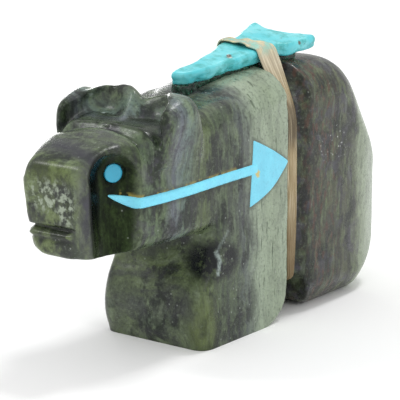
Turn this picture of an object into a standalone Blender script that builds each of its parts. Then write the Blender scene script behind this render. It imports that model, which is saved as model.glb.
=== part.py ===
"""Carved serpentine bear with turquoise inlays and a tied turquoise arrowhead on its back.

The bear faces -Y, its left side is +X and it stands on the plane Z = 0.
Sizes are in millimetres until the last step, where they become metres.
"""
import math

import bmesh
import bpy
from mathutils import Matrix, Vector

# sizes, mm
MM = 0.001

CHEST_FACE = -7.4              # front of the body block behind the neck, along Y
BODY_HALF_WIDTH = 8.9          # widest half width of the body block
BODY_ROUNDING = 6.0            # rounding of the long edges of the body
LEG_HALF_WIDTH = 8.6           # front leg block
LEG_SHIFT = -0.22              # the block stands a little to the bear's right
LEG_ROUNDING = 1.8             # rounding of the upright corners of the front leg block
HEAD_HALF_WIDTH = 8.25
HEAD_ROUNDING = 2.7            # rounding of the long edges of head and neck
HEAD_BOTTOM = 15.65
REAR_GROUND_OVERRUN = 0.8      # how far the rounded rump goes below the floor plane before the cut
FRONT_GROUND_OVERRUN = 5.0

MUZZLE_FACE = -29.7            # flat front of the muzzle, along Y
MUZZLE_DEPTH = 6.0
FOREHEAD_HALF_WIDTH = 5.3
NOSE_HALF_WIDTH = 5.65
LIP_HALF_WIDTH = 5.0
CHIN_HALF_WIDTH = 4.5
MUZZLE_ROUNDING = 0.8
CHEEK_START = 1.3              # the head block starts this far behind the muzzle's face

EAR_TOP = 34.8
EAR_HALF_WIDTH = 9.9
EAR_ROUNDING = 2.4
EAR_CUP_RADIUS = 4.4           # hollow in front of each ear
EAR_CUP_LOW = (4.0, -19.7, 31.1)   # its centre at the brow
EAR_CUP_HIGH = (3.1, -18.0, 35.1)  # its centre at the ear's top
EAR_CUP_DROP = 0.04            # how the floor falls away towards the flank
EAR_CUP_TILT = 0.35            # how the floor falls away towards the back
EAR_CUP_BROW_Y = -18.6         # where the floor meets the brow roll

SOCKET_RADIUS = 4.0
SOCKET_CENTRE = (7.7, -25.7)
SOCKET_TOP = 25.8              # height of the centre of the socket's ball end
SOCKET_LEAN = 4.0              # degrees, the socket grows shallower towards the chin

BROW_GROOVE_RADIUS = 0.75
BROW_GROOVE_Y = -19.9
MOUTH_HEIGHT = 18.9
MOUTH_RADIUS = 0.6
MOUTH_HALF_LENGTH = 3.2

ARCH_FRONT = 9.60              # belly gap between front and rear leg blocks, along Y
ARCH_REAR = 13.95
ARCH_HEIGHT = 5.7
ARCH_FRONT_ROUND = 4.6
ARCH_REAR_ROUND = 3.6

WAIST_Y = 11.5                 # groove round the waist that holds the sinew
WAIST_TOOL_RADIUS = 2.5
WAIST_DEPTH = 1.3
WAIST_HALF_WIDTH = 8.35
WAIST_BACK = 35.5              # height of the back over the waist

EYE_RADIUS = 1.22
EYE_DEPTH = 1.4
EYE_CENTRE = (4.35, -23.45, 26.0)
EYE_TURN = 28.0                # degrees, how far the eye faces forward of sideways

INLAY_DEPTH = 1.1
INLAY_RISE = 0.08              # inlays stand this much proud of the stone
FIT = 0.05                     # clearance round each inlay

SHAFT_WIDTH = 1.35
SHAFT_START = (-24.3, 23.3)
SHAFT_BEND = (-21.7, 21.9)
SHAFT_END = (1.3, 22.75)

POINT_TOP = (0.8, 26.9)
POINT_TIP = (9.6, 22.6)
POINT_BOTTOM = (0.05, 17.7)

SLAB_THICKNESS = 2.1
SLAB_HEIGHT = 35.8             # underside of the arrowhead over the plan point (0, 8)
SLAB_SIDE_TILT = -0.15         # rise per mm towards the bear's left
SLAB_LONG_TILT = 0.13          # rise per mm towards the rump
SLAB_ROUNDING = 0.35

SINEW_Y = WAIST_Y - 0.1
SINEW_WIDTH = 2.3
SINEW_LEAN_FROM = 28.0         # above this height the wrap leans forward
SINEW_LEAN = 0.12
SINEW_THICKNESS = 0.36
SINEW_GAP = 0.13
ROUTE_POINTS = 100

VOXEL = 0.38
SMOOTH_ROUNDS = 8
BODY_TRIANGLES = 5650

# scene start
for old in list(bpy.data.objects):
    bpy.data.objects.remove(old, do_unlink=True)


def new_collection(name):
    group = bpy.data.collections.get(name) or bpy.data.collections.new(name)
    if group.name not in bpy.context.scene.collection.children:
        bpy.context.scene.collection.children.link(group)
    return group


PIECES = new_collection("serpentine_bear")
TOOLS = new_collection("carving_tools")


# small helpers
def smooth_line(points, closed, steps=6):
    """Catmull-Rom line through the given points."""
    count = len(points)
    spans = count if closed else count - 1
    line = []
    for i in range(spans):
        if closed:
            p0, p1, p2, p3 = (points[(i + k) % count] for k in (-1, 0, 1, 2))
        else:
            p0, p1, p2, p3 = (points[min(max(i + k, 0), count - 1)] for k in (-1, 0, 1, 2))
        for s in range(steps):
            t = s / steps
            line.append(tuple(
                0.5 * (2 * b + (c - a) * t + (2 * a - 5 * b + 4 * c - d) * t * t
                       + (3 * b - a - 3 * c + d) * t ** 3)
                for a, b, c, d in zip(p0, p1, p2, p3)))
    if not closed:
        line.append(tuple(points[-1]))
    return line


def link(name, mesh, group=TOOLS):
    obj = bpy.data.objects.new(name, mesh)
    group.objects.link(obj)
    if group is TOOLS:
        obj.hide_render = True
        obj.display_type = "WIRE"
    return obj


def bake(obj, name):
    """Finished mesh of an object with its modifiers, as a new object."""
    bpy.context.view_layer.update()
    graph = bpy.context.evaluated_depsgraph_get()
    mesh = bpy.data.meshes.new_from_object(obj.evaluated_get(graph))
    bm = bmesh.new()
    bm.from_mesh(mesh)
    bmesh.ops.transform(bm, matrix=obj.matrix_world, verts=bm.verts)
    bmesh.ops.remove_doubles(bm, verts=bm.verts, dist=0.0005)
    bmesh.ops.recalc_face_normals(bm, faces=bm.faces)
    bm.to_mesh(mesh)
    bm.free()
    mesh.materials.clear()
    return link(name, mesh)


def plate(name, outline, half, rounding=0.0, plane="YZ"):
    """Outline drawn in a plane and extruded both ways, with rounded rims if asked."""
    curve = bpy.data.curves.new(name + "_outline", "CURVE")
    curve.dimensions = "2D"
    curve.fill_mode = "BOTH"
    curve.extrude = half - rounding
    curve.bevel_depth = rounding
    curve.bevel_resolution = 5
    curve.offset = -rounding
    spline = curve.splines.new("POLY")
    spline.points.add(len(outline) - 1)
    for point, (u, v) in zip(spline.points, outline):
        point.co = (u, v, 0.0, 1.0)
    spline.use_cyclic_u = True
    obj = link(name + "_curve", curve)
    if plane == "YZ":
        obj.matrix_world = Matrix(((0, 0, 1, 0), (1, 0, 0, 0), (0, 1, 0, 0), (0, 0, 0, 1)))
    elif plane == "XZ":
        obj.matrix_world = Matrix(((1, 0, 0, 0), (0, 0, -1, 0), (0, 1, 0, 0), (0, 0, 0, 1)))
    solid = bake(obj, name)
    bpy.data.objects.remove(obj, do_unlink=True)
    return solid


def moved(obj, matrix):
    obj.data.transform(matrix)
    return obj


def combine(name, base, others, kind):
    """Base joined with, cut by or limited to the other solids, as a new solid."""
    work = link(name + "_work", base.data.copy())
    for other in others:
        step = work.modifiers.new("cut", "BOOLEAN")
        step.operation = kind
        step.solver = "EXACT"
        step.object = other
    solid = bake(work, name)
    bpy.data.objects.remove(work, do_unlink=True)
    return solid


def even_skin(name, parts):
    """Overlapping solids merged into one evenly meshed solid."""
    bm = bmesh.new()
    for part in parts:
        bm.from_mesh(part.data)
    mesh = bpy.data.meshes.new(name + "_parts")
    bm.to_mesh(mesh)
    bm.free()
    work = link(name + "_parts", mesh)
    step = work.modifiers.new("even", "REMESH")
    step.mode = "VOXEL"
    step.voxel_size = VOXEL
    solid = bake(work, name)
    bpy.data.objects.remove(work, do_unlink=True)
    return solid


def round_bar(name, path, radius, sides=12):
    """Round bar along a path, closed at both ends."""
    curve = bpy.data.curves.new(name + "_path", "CURVE")
    curve.dimensions = "3D"
    curve.bevel_depth = radius
    curve.bevel_resolution = sides // 4
    curve.use_fill_caps = True
    spline = curve.splines.new("POLY")
    spline.points.add(len(path) - 1)
    for point, co in zip(spline.points, path):
        point.co = (*co, 1.0)
    obj = link(name + "_curve", curve)
    solid = bake(obj, name)
    bpy.data.objects.remove(obj, do_unlink=True)
    return solid


def cylinder(name, radius, depth, segments=40, ball=False):
    """Upright cylinder, its top end finished as a ball if asked."""
    bm = bmesh.new()
    if ball:
        profile = [(0.0, -depth)]
        profile.append((radius, -depth))
        arcs = 10
        for i in range(arcs + 1):
            angle = math.pi / 2 * i / arcs
            profile.append((radius * math.cos(angle), radius * math.sin(angle)))
        verts = [bm.verts.new((r, 0.0, z)) for r, z in profile]
        edges = [bm.edges.new(pair) for pair in zip(verts, verts[1:])]
        bmesh.ops.spin(bm, geom=verts + edges, cent=(0, 0, 0), axis=(0, 0, 1),
                       angle=2 * math.pi, steps=segments, use_duplicate=False)
        bmesh.ops.remove_doubles(bm, verts=bm.verts, dist=0.0005)
        bmesh.ops.recalc_face_normals(bm, faces=bm.faces)
    else:
        bmesh.ops.create_cone(bm, cap_ends=True, segments=segments, radius1=radius,
                              radius2=radius, depth=depth)
    mesh = bpy.data.meshes.new(name)
    bm.to_mesh(mesh)
    bm.free()
    return link(name, mesh)


def mirrored(name, obj):
    copy = link(name, obj.data.copy())
    copy.data.transform(Matrix.Diagonal((-1, 1, 1, 1)))
    copy.data.flip_normals()
    return copy


# body and legs
back_line = [(CHEST_FACE - 2.0, 31.1), (-5.0, 32.7), (0.0, 33.9), (5.0, 34.8), (10.0, 35.4), (15.0, 35.7),
             (20.0, 35.7), (24.2, 35.0), (26.9, 33.4), (28.8, 31.2), (30.4, 28.8), (31.9, 26.4), (33.4, 24.0),
             (34.9, 21.4), (36.6, 18.2), (37.9, 15.0), (38.2, 11.5), (36.6, 7.6), (34.6, 4.3), (32.3, 1.5),
             (29.4, -REAR_GROUND_OVERRUN)]
body_side = smooth_line(back_line, closed=False, steps=3)
body_side += [(16.0, -REAR_GROUND_OVERRUN), (4.0, -FRONT_GROUND_OVERRUN),
              (CHEST_FACE - 7.0, -FRONT_GROUND_OVERRUN), (CHEST_FACE - 7.0, 29.6)]
body_block = plate("body_block", body_side, BODY_HALF_WIDTH, BODY_ROUNDING)

flank = [(5.4, CHEST_FACE), (7.2, CHEST_FACE + 0.6), (8.1, CHEST_FACE + 2.2), (8.3, -2.5),
         (8.4, 1.0), (8.4, 5.5), (8.25, 9.0), (8.4, 12.5), (8.7, 15.0),
         (8.85, 19.0), (8.8, 24.0), (8.4, 28.5), (7.6, 31.9), (6.4, 34.7), (4.6, 36.7), (2.3, 37.7)]
flank_line = smooth_line(flank, closed=False, steps=4)
body_plan_line = flank_line + [(-x, y) for x, y in reversed(flank_line)]
body_plan = plate("body_plan", body_plan_line, 60.0, 0.0, plane="XY")
torso = combine("torso", even_skin("body_even", [body_block]), [body_plan], "INTERSECT")

leg_front = smooth_line([(-9.5, -3.0), (-10.0, 0.0), (-10.8, 2.2), (-11.0, 5.0), (-10.2, 8.0), (-8.6, 11.0),
                         (-7.6, 14.0), (-7.3, 18.0), (-7.2, 22.0)], closed=False, steps=3)
front_legs = plate("front_legs", leg_front + [(5.0, 22.0), (5.0, -3.0)], LEG_HALF_WIDTH, LEG_ROUNDING)
moved(front_legs, Matrix.Translation((LEG_SHIFT, 0, 0)))

# head and neck
def tapered(obj, widths):
    """Narrows a solid across, by the half widths given along its length."""
    for vertex in obj.data.vertices:
        y = vertex.co.y
        for (y0, w0), (y1, w1) in zip(widths, widths[1:]):
            if y <= y1 or (y1, w1) == widths[-1]:
                share = min(max((y - y0) / (y1 - y0), 0.0), 1.0)
                vertex.co.x *= (w0 + (w1 - w0) * share) / HEAD_HALF_WIDTH
                break
    return obj


head_top = smooth_line([(-33.5, 23.5), (-29.9, 27.0), (-28.9, 28.0), (-26.8, 29.1), (-24.5, 29.9), (-22.0, 30.6),
                        (-19.0, 31.0), (-14.0, 31.4), (-9.0, 31.8), (-3.0, 32.8)], closed=False, steps=3)
head_side = head_top + [(3.0, 32.8), (3.0, HEAD_BOTTOM), (-33.5, HEAD_BOTTOM)]
head_widths = [(-27.6, NOSE_HALF_WIDTH), (-21.8, 7.3), (-18.0, 7.9), (-13.0, HEAD_HALF_WIDTH), (0.0, HEAD_HALF_WIDTH)]
head_long = tapered(even_skin("head_even", [plate("head_plate", head_side, HEAD_HALF_WIDTH, HEAD_ROUNDING)]),
                    head_widths)
behind_face = plate("behind_face", [(-40, 0), (40, 0), (40, 60), (-40, 60)], 30.0, 0.0, plane="XZ")
moved(behind_face, Matrix.Translation((0, MUZZLE_FACE + CHEEK_START + 30.0, 0)))
head = combine("head", head_long, [behind_face], "INTERSECT")


def muzzle_outline():
    """Front view of the muzzle, a little narrower at the chin."""
    corners = ((FOREHEAD_HALF_WIDTH, 29.6, 0.0), (NOSE_HALF_WIDTH, 25.0, 0.0), (LIP_HALF_WIDTH, 20.4, 0.0),
               (CHIN_HALF_WIDTH, 18.8, 0.0), (CHIN_HALF_WIDTH - 0.1, HEAD_BOTTOM, 2.6))
    right = []
    for x, z, radius in corners:
        if radius == 0.0:
            right.append((x, z))
            continue
        for k in range(7):
            angle = math.radians(15 * k)
            right.append((x - radius + radius * math.cos(angle), z + radius - radius * math.sin(angle)))
    return right + [(-x, z) for x, z in reversed(right)]


muzzle_block = plate("muzzle_block", muzzle_outline(), MUZZLE_DEPTH / 2, MUZZLE_ROUNDING, plane="XZ")
moved(muzzle_block, Matrix.Translation((0, MUZZLE_FACE + MUZZLE_DEPTH / 2, 0)))
muzzle = combine("muzzle", even_skin("muzzle_even", [muzzle_block]), [head_long], "INTERSECT")

# ears
ear_side_line = smooth_line([(-19.5, 26.0), (-19.5, 30.8), (-19.0, 32.8), (-17.4, EAR_TOP - 0.8), (-15.2, EAR_TOP),
                             (-13.0, EAR_TOP), (-11.6, 33.2), (-10.9, 31.2), (-10.5, 28.8), (-10.4, 26.0)],
                            closed=False, steps=3)
ears = plate("ear_block", ear_side_line, EAR_HALF_WIDTH, EAR_ROUNDING)


def ear_cup():
    """Leaning round hollow in front of the left ear, its floor falling back and sideways."""
    low = Vector(EAR_CUP_LOW)
    lean = (Vector(EAR_CUP_HIGH) - low) / (EAR_CUP_HIGH[2] - EAR_CUP_LOW[2])
    depth = 6.0
    bm = bmesh.new()
    bmesh.ops.create_cone(bm, cap_ends=True, cap_tris=True, segments=36, radius1=EAR_CUP_RADIUS,
                          radius2=EAR_CUP_RADIUS, depth=depth)
    for vertex in bm.verts:
        x = vertex.co.x + low.x
        y = vertex.co.y + low.y
        rise = vertex.co.z + depth / 2
        z = low.z + rise - EAR_CUP_DROP * x * x - EAR_CUP_TILT * (y - EAR_CUP_BROW_Y)
        vertex.co = (x + lean.x * rise, y + lean.y * rise, z)
    mesh = bpy.data.meshes.new("ear_cup")
    bm.to_mesh(mesh)
    bm.free()
    return link("ear_cup", mesh)


ear_taper = [(-EAR_HALF_WIDTH - 1.0, 38.0), (-EAR_HALF_WIDTH, 32.6), (-9.5, 30.2), (-8.8, 27.4), (-7.9, 24.6)]
ear_taper += [(-x, z) for x, z in reversed(ear_taper)]
ears = combine("ears_tapered", even_skin("ears_even", [ears]), [plate("ear_taper", ear_taper, 60.0, 0.0, "XZ")],
               "INTERSECT")
ear_cup_left = ear_cup()
ears = combine("ears_scooped", ears, [ear_cup_left, mirrored("ear_cup_right", ear_cup_left)], "DIFFERENCE")

# rough bear
rough = even_skin("rough_block", [torso, front_legs, head, muzzle, ears])

sockets = []
for side in (1, -1):
    socket = cylinder(f"socket_{side}", SOCKET_RADIUS, 16.0, ball=True)
    lean = Matrix.Rotation(math.radians(side * SOCKET_LEAN), 4, "Y")
    place = Matrix.Translation((side * SOCKET_CENTRE[0], SOCKET_CENTRE[1], SOCKET_TOP))
    moved(socket, place @ lean.inverted())
    sockets.append(socket)


def arch_outline():
    """Belly gap seen from the side, with the leg corners rounded off below it."""
    line = [(ARCH_FRONT - 2 * ARCH_FRONT_ROUND, -9.0), (ARCH_FRONT - ARCH_FRONT_ROUND - 1.0, -0.3)]
    for k in range(1, 7):
        angle = math.radians(15 * k)
        line.append((ARCH_FRONT - ARCH_FRONT_ROUND * (1 - math.sin(angle)),
                     ARCH_FRONT_ROUND * (1 - math.cos(angle)) + 0.1))
    line += [(ARCH_FRONT + 0.5, ARCH_HEIGHT - 0.4), (ARCH_FRONT + 1.3, ARCH_HEIGHT),
             (ARCH_REAR - 1.3, ARCH_HEIGHT), (ARCH_REAR - 0.4, ARCH_HEIGHT - 0.5)]
    for k in range(6, -1, -1):
        angle = math.radians(15 * k)
        line.append((ARCH_REAR + ARCH_REAR_ROUND * (1 - math.sin(angle)),
                     ARCH_REAR_ROUND * (1 - math.cos(angle)) + 0.1))
    line.append((ARCH_REAR + 2 * ARCH_REAR_ROUND, -9.0))
    return line


arch = plate("arch", arch_outline(), 30.0, 0.0)


def waist_path():
    """Route of the round grinding edge round flanks and back at the waist."""
    out = WAIST_TOOL_RADIUS - WAIST_DEPTH
    half = WAIST_HALF_WIDTH + out
    top = WAIST_BACK + out
    round_over = BODY_ROUNDING + out
    right = [(half, -6.0)]
    for k in range(9):
        angle = math.radians(90 * k / 8)
        right.append((half - round_over * (1 - math.cos(angle)), top - round_over * (1 - math.sin(angle))))
    return [(x, WAIST_Y, z) for x, z in right + [(-x, z) for x, z in reversed(right)]]


waist = round_bar("waist_groove", waist_path(), WAIST_TOOL_RADIUS, sides=24)
rough = combine("rough_carved", rough, sockets + [arch, waist], "DIFFERENCE")

remesh = rough.modifiers.new("even_skin", "REMESH")
remesh.mode = "VOXEL"
remesh.voxel_size = VOXEL
polish = rough.modifiers.new("polish", "SMOOTH")
polish.factor = 0.5
polish.iterations = SMOOTH_ROUNDS
polished = bake(rough, "polished")
thin = polished.modifiers.new("thin", "DECIMATE")
thin.ratio = BODY_TRIANGLES / (2 * len(polished.data.polygons))
skin = bake(polished, "skin")

# arrowhead on the back
near_edge = [(0.4, -5.0), (1.7, -3.7), (2.2, 0.0), (2.6, 3.2), (3.1, 6.2), (3.5, 9.4), (3.3, 12.2), (3.5, 13.6),
             (4.5, 14.4), (4.9, 16.7), (5.3, 19.1), (5.0, 20.6)]
base_edge = [(3.7, 20.2), (1.6, 19.2), (-0.8, 18.4), (-2.8, 19.0), (-4.4, 19.5)]
far_edge = [(-4.8, 18.4), (-4.2, 15.7), (-3.2, 13.2), (-3.0, 11.8), (-3.3, 10.2), (-2.7, 7.6), (-1.7, 4.0),
            (-0.9, 0.0), (-0.6, -3.6)]
slab_outline = smooth_line(near_edge + base_edge + far_edge, closed=True, steps=2)


def slab_place():
    """Turns the flat arrowhead into its lie on the back."""
    up = Vector((-SLAB_SIDE_TILT, -SLAB_LONG_TILT, 1.0)).normalized()
    along = Vector((0.0, 1.0, SLAB_LONG_TILT)).normalized()
    across = along.cross(up).normalized()
    along = up.cross(across)
    frame = Matrix((across, along, up)).transposed().to_4x4()
    return Matrix.Translation((0.0, 8.0, SLAB_HEIGHT)) @ frame @ Matrix.Translation((0.0, -8.0, 0.0))


def slab(name, grow, low, high, rounding):
    """Arrowhead solid from low to high over its underside, grown outwards if asked."""
    middle = Vector((0.0, 8.0))
    line = []
    for x, y in slab_outline:
        away = (Vector((x, y)) - middle).normalized()
        line.append((x + away.x * grow, y + away.y * grow))
    solid = plate(name, line, (high - low) / 2, rounding, plane="XY")
    return moved(solid, slab_place() @ Matrix.Translation((0, 0, (high + low) / 2)))


arrowhead = slab("arrowhead_solid", 0.0, 0.0, SLAB_THICKNESS, SLAB_ROUNDING)
bed = slab("arrowhead_bed", 0.25, -FIT, 6.0, 0.0)

# inlays
def strip_outline(grow):
    """Bent heartline shaft seen from the side, pointed at the mouth end."""
    half = SHAFT_WIDTH / 2 + grow
    start, bend, end = (Vector(p) for p in (SHAFT_START, SHAFT_BEND, SHAFT_END))
    first = (bend - start).normalized()
    second = (end - bend).normalized()
    n1 = Vector((-first.y, first.x))
    n2 = Vector((-second.y, second.x))
    mid = (n1 + n2).normalized()
    stretch = 1.0 / mid.dot(n2)
    tip = start - first * grow * 1.5
    stop = end + second * grow
    corner = [tip + n1 * (0.25 + grow), bend + mid * half * stretch, stop + n2 * half, stop - n2 * half,
              bend - mid * half * stretch, tip - n1 * (0.25 + grow)]
    return [(p.x, p.y) for p in corner]


def point_outline(grow):
    """Heartline arrowhead seen from the side: straight back, bowed lower edge."""
    top, tip, bottom = (Vector(p) for p in (POINT_TOP, POINT_TIP, POINT_BOTTOM))
    line = [top]
    for k in range(1, 5):
        line.append(top.lerp(tip, k / 5) + Vector((0.0, 0.25 * math.sin(math.pi * k / 5))))
    line.append(tip)
    for k in range(1, 5):
        line.append(tip.lerp(bottom, k / 5) + Vector((0.35, -0.75)) * math.sin(math.pi * k / 5))
    line.append(bottom)
    middle = Vector((3.4, 22.4))
    return [(p.x + (p - middle).normalized().x * grow * 1.6, p.y + (p - middle).normalized().y * grow * 1.6)
            for p in line]


def side_prism(name, outline):
    """Solid over one flank only, from a side outline."""
    solid = plate(name, outline, 6.0, 0.0)
    return moved(solid, Matrix.Translation((7.4, 0, 0)))


def shifted(name, obj, dx):
    copy = link(name, obj.data.copy())
    return moved(copy, Matrix.Translation((dx, 0, 0)))


proud = shifted("skin_proud", skin, INLAY_RISE)
sunk = shifted("skin_sunk", skin, -INLAY_DEPTH)
sunk_fit = shifted("skin_sunk_fit", skin, -INLAY_DEPTH - FIT)

shaft_prism = side_prism("shaft_prism", strip_outline(0.0))
shaft_room = side_prism("shaft_room", strip_outline(FIT))
point_prism = side_prism("point_prism", point_outline(0.0))
point_room = side_prism("point_room", point_outline(FIT))

shaft = combine("shaft", shaft_prism, [proud], "INTERSECT")
shaft = combine("shaft_left", shaft, [sunk], "DIFFERENCE")
point = combine("point", point_prism, [proud], "INTERSECT")
point = combine("point_left", point, [sunk, shaft_room], "DIFFERENCE")
shaft_channel = combine("shaft_channel", shaft_room, [sunk_fit], "DIFFERENCE")
point_channel = combine("point_channel", point_room, [sunk_fit], "DIFFERENCE")


def eye_place(side):
    turn = Matrix.Rotation(math.radians(-EYE_TURN), 4, "Z")
    lie = Matrix.Rotation(math.radians(90), 4, "Y")
    place = Matrix.Translation(EYE_CENTRE) @ turn @ lie
    if side < 0:
        return Matrix.Diagonal((-1, 1, 1, 1)) @ place
    return place


eye_solid = cylinder("eye_solid", EYE_RADIUS, EYE_DEPTH, segments=32)
moved(eye_solid, eye_place(1) @ Matrix.Translation((0, 0, -EYE_DEPTH / 2 + INLAY_RISE)))
eye_hole = cylinder("eye_hole", EYE_RADIUS + FIT, EYE_DEPTH + 6.0 + FIT, segments=32)
moved(eye_hole, eye_place(1) @ Matrix.Translation((0, 0, -EYE_DEPTH / 2 + INLAY_RISE + 3.0 - FIT / 2)))

# finished bear
groove_path = smooth_line([(-9.6, BROW_GROOVE_Y, 26.6), (-8.7, BROW_GROOVE_Y, 28.8), (-6.4, BROW_GROOVE_Y, 30.7),
                           (-3.0, BROW_GROOVE_Y, 31.1), (0.0, BROW_GROOVE_Y + 0.3, 31.3), (3.0, BROW_GROOVE_Y, 31.1),
                           (6.4, BROW_GROOVE_Y, 30.7), (8.7, BROW_GROOVE_Y, 28.8), (9.6, BROW_GROOVE_Y, 26.6)],
                          closed=False, steps=3)
groove = round_bar("brow_groove", groove_path, BROW_GROOVE_RADIUS)
mouth = round_bar("mouth", [(-6.0, MUZZLE_FACE, MOUTH_HEIGHT), (MOUTH_HALF_LENGTH, MUZZLE_FACE, MOUTH_HEIGHT)],
                  MOUTH_RADIUS)
floor_cut = plate("floor_cut", [(-60, -30), (60, -30), (60, 0), (-60, 0)], 40.0, 0.0)

cuts = [floor_cut, groove, mouth, bed]
for tool in (eye_hole, shaft_channel, point_channel):
    cuts += [tool, mirrored(tool.name + "_right", tool)]
bear = combine("bear", skin, cuts, "DIFFERENCE")

# sinew wrap
def hull_line(points):
    """Convex outline in the XZ plane."""
    flat = sorted({(round(p.x, 4), round(p.z, 4)) for p in points})

    def half(seq):
        out = []
        for p in seq:
            while len(out) > 1 and ((out[-1][0] - out[-2][0]) * (p[1] - out[-2][1])
                                    - (out[-1][1] - out[-2][1]) * (p[0] - out[-2][0])) <= 0:
                out.pop()
            out.append(p)
        return out

    lower = half(flat)
    upper = half(reversed(flat))
    return lower[:-1] + upper[:-1]


def resampled(line, count):
    """The same closed line with evenly spaced points."""
    closed = [Vector(p) for p in line] + [Vector(line[0])]
    lengths = [(b - a).length for a, b in zip(closed, closed[1:])]
    total = sum(lengths)
    out = []
    for k in range(count):
        goal = total * k / count
        for (a, b), size in zip(zip(closed, closed[1:]), lengths):
            if goal <= size:
                out.append(a.lerp(b, goal / size))
                break
            goal -= size
    return out


def leaned(name, obj, way):
    """The solid sheared along Y above the height where the wrap starts to lean."""
    copy = link(name, obj.data.copy())
    for vertex in copy.data.vertices:
        vertex.co.y += way * SINEW_LEAN * max(0.0, vertex.co.z - SINEW_LEAN_FROM)
    return copy


band_low = SINEW_Y - SINEW_WIDTH / 2
band_high = SINEW_Y + SINEW_WIDTH / 2
waist_slice = plate("waist_slice", [(band_low, -5), (band_high, -5), (band_high, 60), (band_low, 60)], 30.0, 0.0)
body_slice = combine("body_slice", leaned("bear_upright", bear, 1), [waist_slice], "INTERSECT")
slab_slice = combine("slab_slice", leaned("slab_upright", arrowhead, 1), [waist_slice], "INTERSECT")
hull = hull_line([v.co for v in body_slice.data.vertices] + [v.co for v in slab_slice.data.vertices])
route = resampled(hull, ROUTE_POINTS)


def offset_line(line, distance):
    count = len(line)
    out = []
    for i, p in enumerate(line):
        run = (line[(i + 1) % count] - line[i - 1]).normalized()
        out.append((p.x + run.y * distance, p.y - run.x * distance))
    return out


sinew_outer = plate("sinew_outer", offset_line(route, SINEW_GAP + SINEW_THICKNESS), SINEW_WIDTH / 2, 0.0, plane="XZ")
sinew_inner = plate("sinew_inner", offset_line(route, SINEW_GAP), 30.0, 0.0, plane="XZ")
moved(sinew_outer, Matrix.Translation((0, SINEW_Y, 0)))
sinew = leaned("sinew", combine("sinew_ring", sinew_outer, [sinew_inner], "DIFFERENCE"), -1)


# named pieces
def stone(name, colour, roughness, metallic=0.0):
    material = bpy.data.materials.new(name)
    material.use_nodes = True
    shader = material.node_tree.nodes["Principled BSDF"]
    shader.inputs["Base Color"].default_value = (*colour, 1.0)
    shader.inputs["Roughness"].default_value = roughness
    shader.inputs["Metallic"].default_value = metallic
    return material


def piece(name, source, material, smooth_angle):
    mesh = source.data.copy()
    mesh.transform(Matrix.Scale(MM, 4))
    mesh.name = name
    obj = link(name, mesh, PIECES)
    obj.data.materials.clear()
    obj.data.materials.append(material)
    obj.data.shade_smooth()
    obj.data.set_sharp_from_angle(angle=math.radians(smooth_angle))
    return obj


serpentine = stone("serpentine", (0.085, 0.115, 0.075), 0.3)
sky_turquoise = stone("sky_turquoise", (0.09, 0.52, 0.72), 0.35)
sea_turquoise = stone("sea_turquoise", (0.07, 0.53, 0.58), 0.4)
sinew_fibre = stone("sinew_fibre", (0.52, 0.40, 0.26), 0.6)

piece("bear_body", bear, serpentine, 35)
piece("eye_left", eye_solid, sky_turquoise, 35)
piece("eye_right", mirrored("eye_solid_right", eye_solid), sky_turquoise, 35)
piece("heartline_shaft_left", shaft, sky_turquoise, 30)
piece("heartline_shaft_right", mirrored("shaft_right", shaft), sky_turquoise, 30)
piece("heartline_point_left", point, sky_turquoise, 30)
piece("heartline_point_right", mirrored("point_right", point), sky_turquoise, 30)
piece("offering_arrowhead", arrowhead, sea_turquoise, 35)
piece("sinew_wrap", sinew, sinew_fibre, 35)
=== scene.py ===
"""Polished serpentine bear with turquoise inlays and an arrowhead tied on its back."""
import math

import bmesh
import bpy
from bpy.props import FloatProperty, FloatVectorProperty, IntProperty, PointerProperty
from mathutils import Matrix, Vector, noise
from mathutils.bvhtree import BVHTree


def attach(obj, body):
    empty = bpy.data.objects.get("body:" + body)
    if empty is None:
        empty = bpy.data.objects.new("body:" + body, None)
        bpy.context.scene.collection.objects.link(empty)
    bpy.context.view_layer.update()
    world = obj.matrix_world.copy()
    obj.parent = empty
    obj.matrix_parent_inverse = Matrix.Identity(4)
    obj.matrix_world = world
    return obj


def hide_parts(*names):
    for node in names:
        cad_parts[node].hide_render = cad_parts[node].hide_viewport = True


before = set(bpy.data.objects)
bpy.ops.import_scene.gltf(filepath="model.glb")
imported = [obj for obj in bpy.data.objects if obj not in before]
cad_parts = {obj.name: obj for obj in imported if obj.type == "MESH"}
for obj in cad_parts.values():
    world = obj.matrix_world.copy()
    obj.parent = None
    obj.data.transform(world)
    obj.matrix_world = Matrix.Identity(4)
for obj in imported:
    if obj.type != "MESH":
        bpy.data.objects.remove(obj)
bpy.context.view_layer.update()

bl_info = {
    "name": "Serpentine bear",
    "version": (1, 0, 0),
    "blender": (4, 5, 0),
    "location": "3D View > Sidebar > Bear",
    "description": "Carves and finishes a serpentine bear with turquoise inlays",
    "category": "Add Mesh",
}

MM = 0.001


def linear(code):
    """Linear colour of an sRGB hex code."""
    parts = [int(code[i:i + 2], 16) / 255 for i in (1, 3, 5)]
    return tuple(v / 12.92 if v <= 0.04045 else ((v + 0.055) / 1.055) ** 2.4 for v in parts)


def length(name, description, value_mm):
    """A size property, given in millimetres."""
    return FloatProperty(name=name, description=description, default=value_mm * MM, min=0.0,
                         subtype="DISTANCE", unit="LENGTH", precision=5)


def colour(name, description, code):
    """A colour property, given as sRGB hex."""
    return FloatVectorProperty(name=name, description=description, default=linear(code), min=0.0, max=1.0,
                               size=3, subtype="COLOR")


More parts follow.
